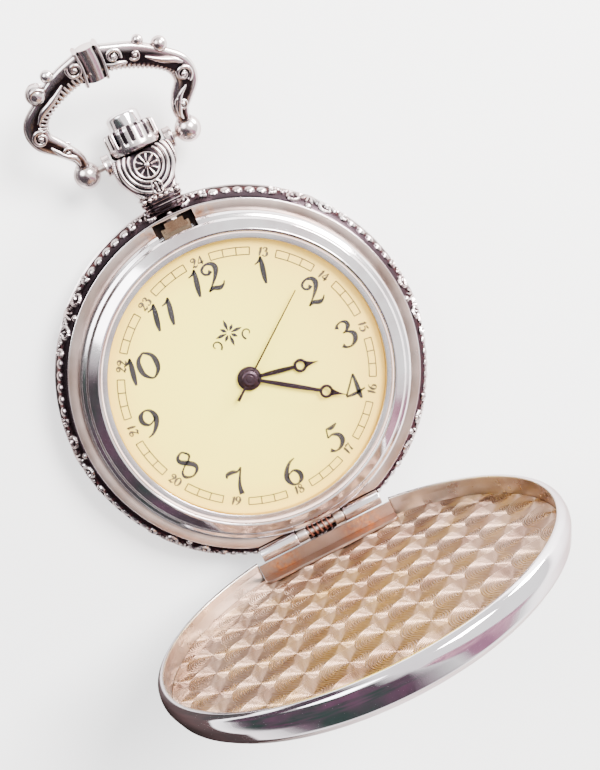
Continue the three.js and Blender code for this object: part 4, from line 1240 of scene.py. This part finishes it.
def make_panel(name, sweep, climb, first, second):
    """A curved card round the watch; angles in degrees, sweep from +X and climb from the floor."""
    def place(across, rise):
        return (PANEL_R * math.cos(across) * math.cos(rise), PANEL_R * math.sin(across) * math.cos(rise),
                PANEL_R * math.sin(rise))

    make_card(name, np.radians(sweep), np.radians(climb), place, first, second)


def make_floor_card(name, sweep, reach, first, second):
    """A flat card just over the floor, a sector of a ring."""
    def place(across, radius):
        return (radius * math.cos(across), radius * math.sin(across), CARD_HIGH)

    make_card(name, np.radians(sweep), reach, place, first, second)


def make_card(name, u_range, v_range, place, first, second):
    """A card seen only in reflections, with soft edges."""
    points = [place(u, v) for u in np.linspace(*u_range, CARD_COLUMNS)
              for v in np.linspace(*v_range, CARD_ROWS)]
    faces = [(k, k + 1, k + CARD_ROWS + 1, k + CARD_ROWS) for c in range(CARD_COLUMNS - 1)
             for k in range(c * CARD_ROWS, c * CARD_ROWS + CARD_ROWS - 1)]
    mesh = bpy.data.meshes.new(name)
    mesh.from_pydata(points, [], faces)
    u = np.linspace(0, 1, CARD_COLUMNS)[:, None]
    v = np.linspace(0, 1, CARD_ROWS)[None, :]
    cover = np.clip(np.minimum(u, 1 - u) * 7, 0, 1) * np.clip(np.minimum(v + 0.05, 1 - v) * 8, 0, 1)
    soft = mesh.attributes.new("cover", "FLOAT", "POINT")
    soft.data.foreach_set("value", cover.astype(np.float32).reshape(-1))
    s = Shader(name)
    mesh.materials.append(s.done({
        "Base Color": s.ramp(s.noise(9, 3), (0.35, first), (0.65, second)), "Roughness": 0.9,
        "Specular IOR Level": 0.1, "Alpha": s.node("Attribute", "Fac", {}, attribute_name="cover")}))
    card = bpy.data.objects.new(name, mesh)
    bpy.context.scene.collection.objects.link(card)
    card.visible_camera = False
    card.visible_diffuse = False
    card.visible_shadow = False


def area_light(name, place, target, size, power, colour):
    light = bpy.data.lights.new(name, "AREA")
    light.energy = power
    light.size = size
    light.color = colour
    obj = bpy.data.objects.new(name, light)
    obj.location = place
    aim = Vector(target) - Vector(place)
    obj.rotation_euler = aim.to_track_quat("-Z", "Y").to_euler()
    bpy.context.scene.collection.objects.link(obj)


def make_lights():
    world = bpy.data.worlds.new("studio")
    world.use_nodes = True
    world.node_tree.nodes["Background"].inputs["Color"].default_value = (1.0, 0.99, 0.985, 1)
    world.node_tree.nodes["Background"].inputs["Strength"].default_value = WORLD_STRENGTH
    bpy.context.scene.world = world
    area_light("key", (0.28, 0.16, 0.42), (0, 0, 0.01), 0.22, 9.0, (1.0, 0.98, 0.96))
    area_light("fill", (-0.25, 0.30, 0.40), (0, 0, 0.01), 0.30, 3.0, (0.96, 0.97, 1.0))
    area_light("rake", (0.30, 0.16, 0.035), (0, -0.024, 0.03), 0.14, 7.0, (1.0, 0.97, 0.93))


CAMERA_PLACE = (-4.69, 24.08, 138.75)
CAMERA_LOOK = (0.0740, -0.2055, -0.9758)
CAMERA_UP = (0.4409, 0.8844, -0.1529)
CAMERA_LENS = 51.08
SENSOR = 36.0


def make_camera():
    data = bpy.data.cameras.new("camera")
    data.sensor_fit = "VERTICAL"
    data.sensor_height = SENSOR
    data.lens = CAMERA_LENS
    data.clip_start = 0.005
    data.dof.use_dof = False
    obj = bpy.data.objects.new("camera", data)
    look = Vector(CAMERA_LOOK).normalized()
    right = look.cross(Vector(CAMERA_UP)).normalized()
    up = right.cross(look)
    rotation = Matrix((right, up, -look)).transposed().to_4x4()
    obj.matrix_world = Matrix.Translation(Vector(CAMERA_PLACE) * MM) @ rotation
    bpy.context.scene.collection.objects.link(obj)
    bpy.context.scene.camera = obj


make_camera()
make_lights()
make_stage()
make_case()
make_bezel()
make_dial()
make_hands()
make_crown()
make_neck()
make_bow()
make_lid()
make_hinge()
finish_nodes()
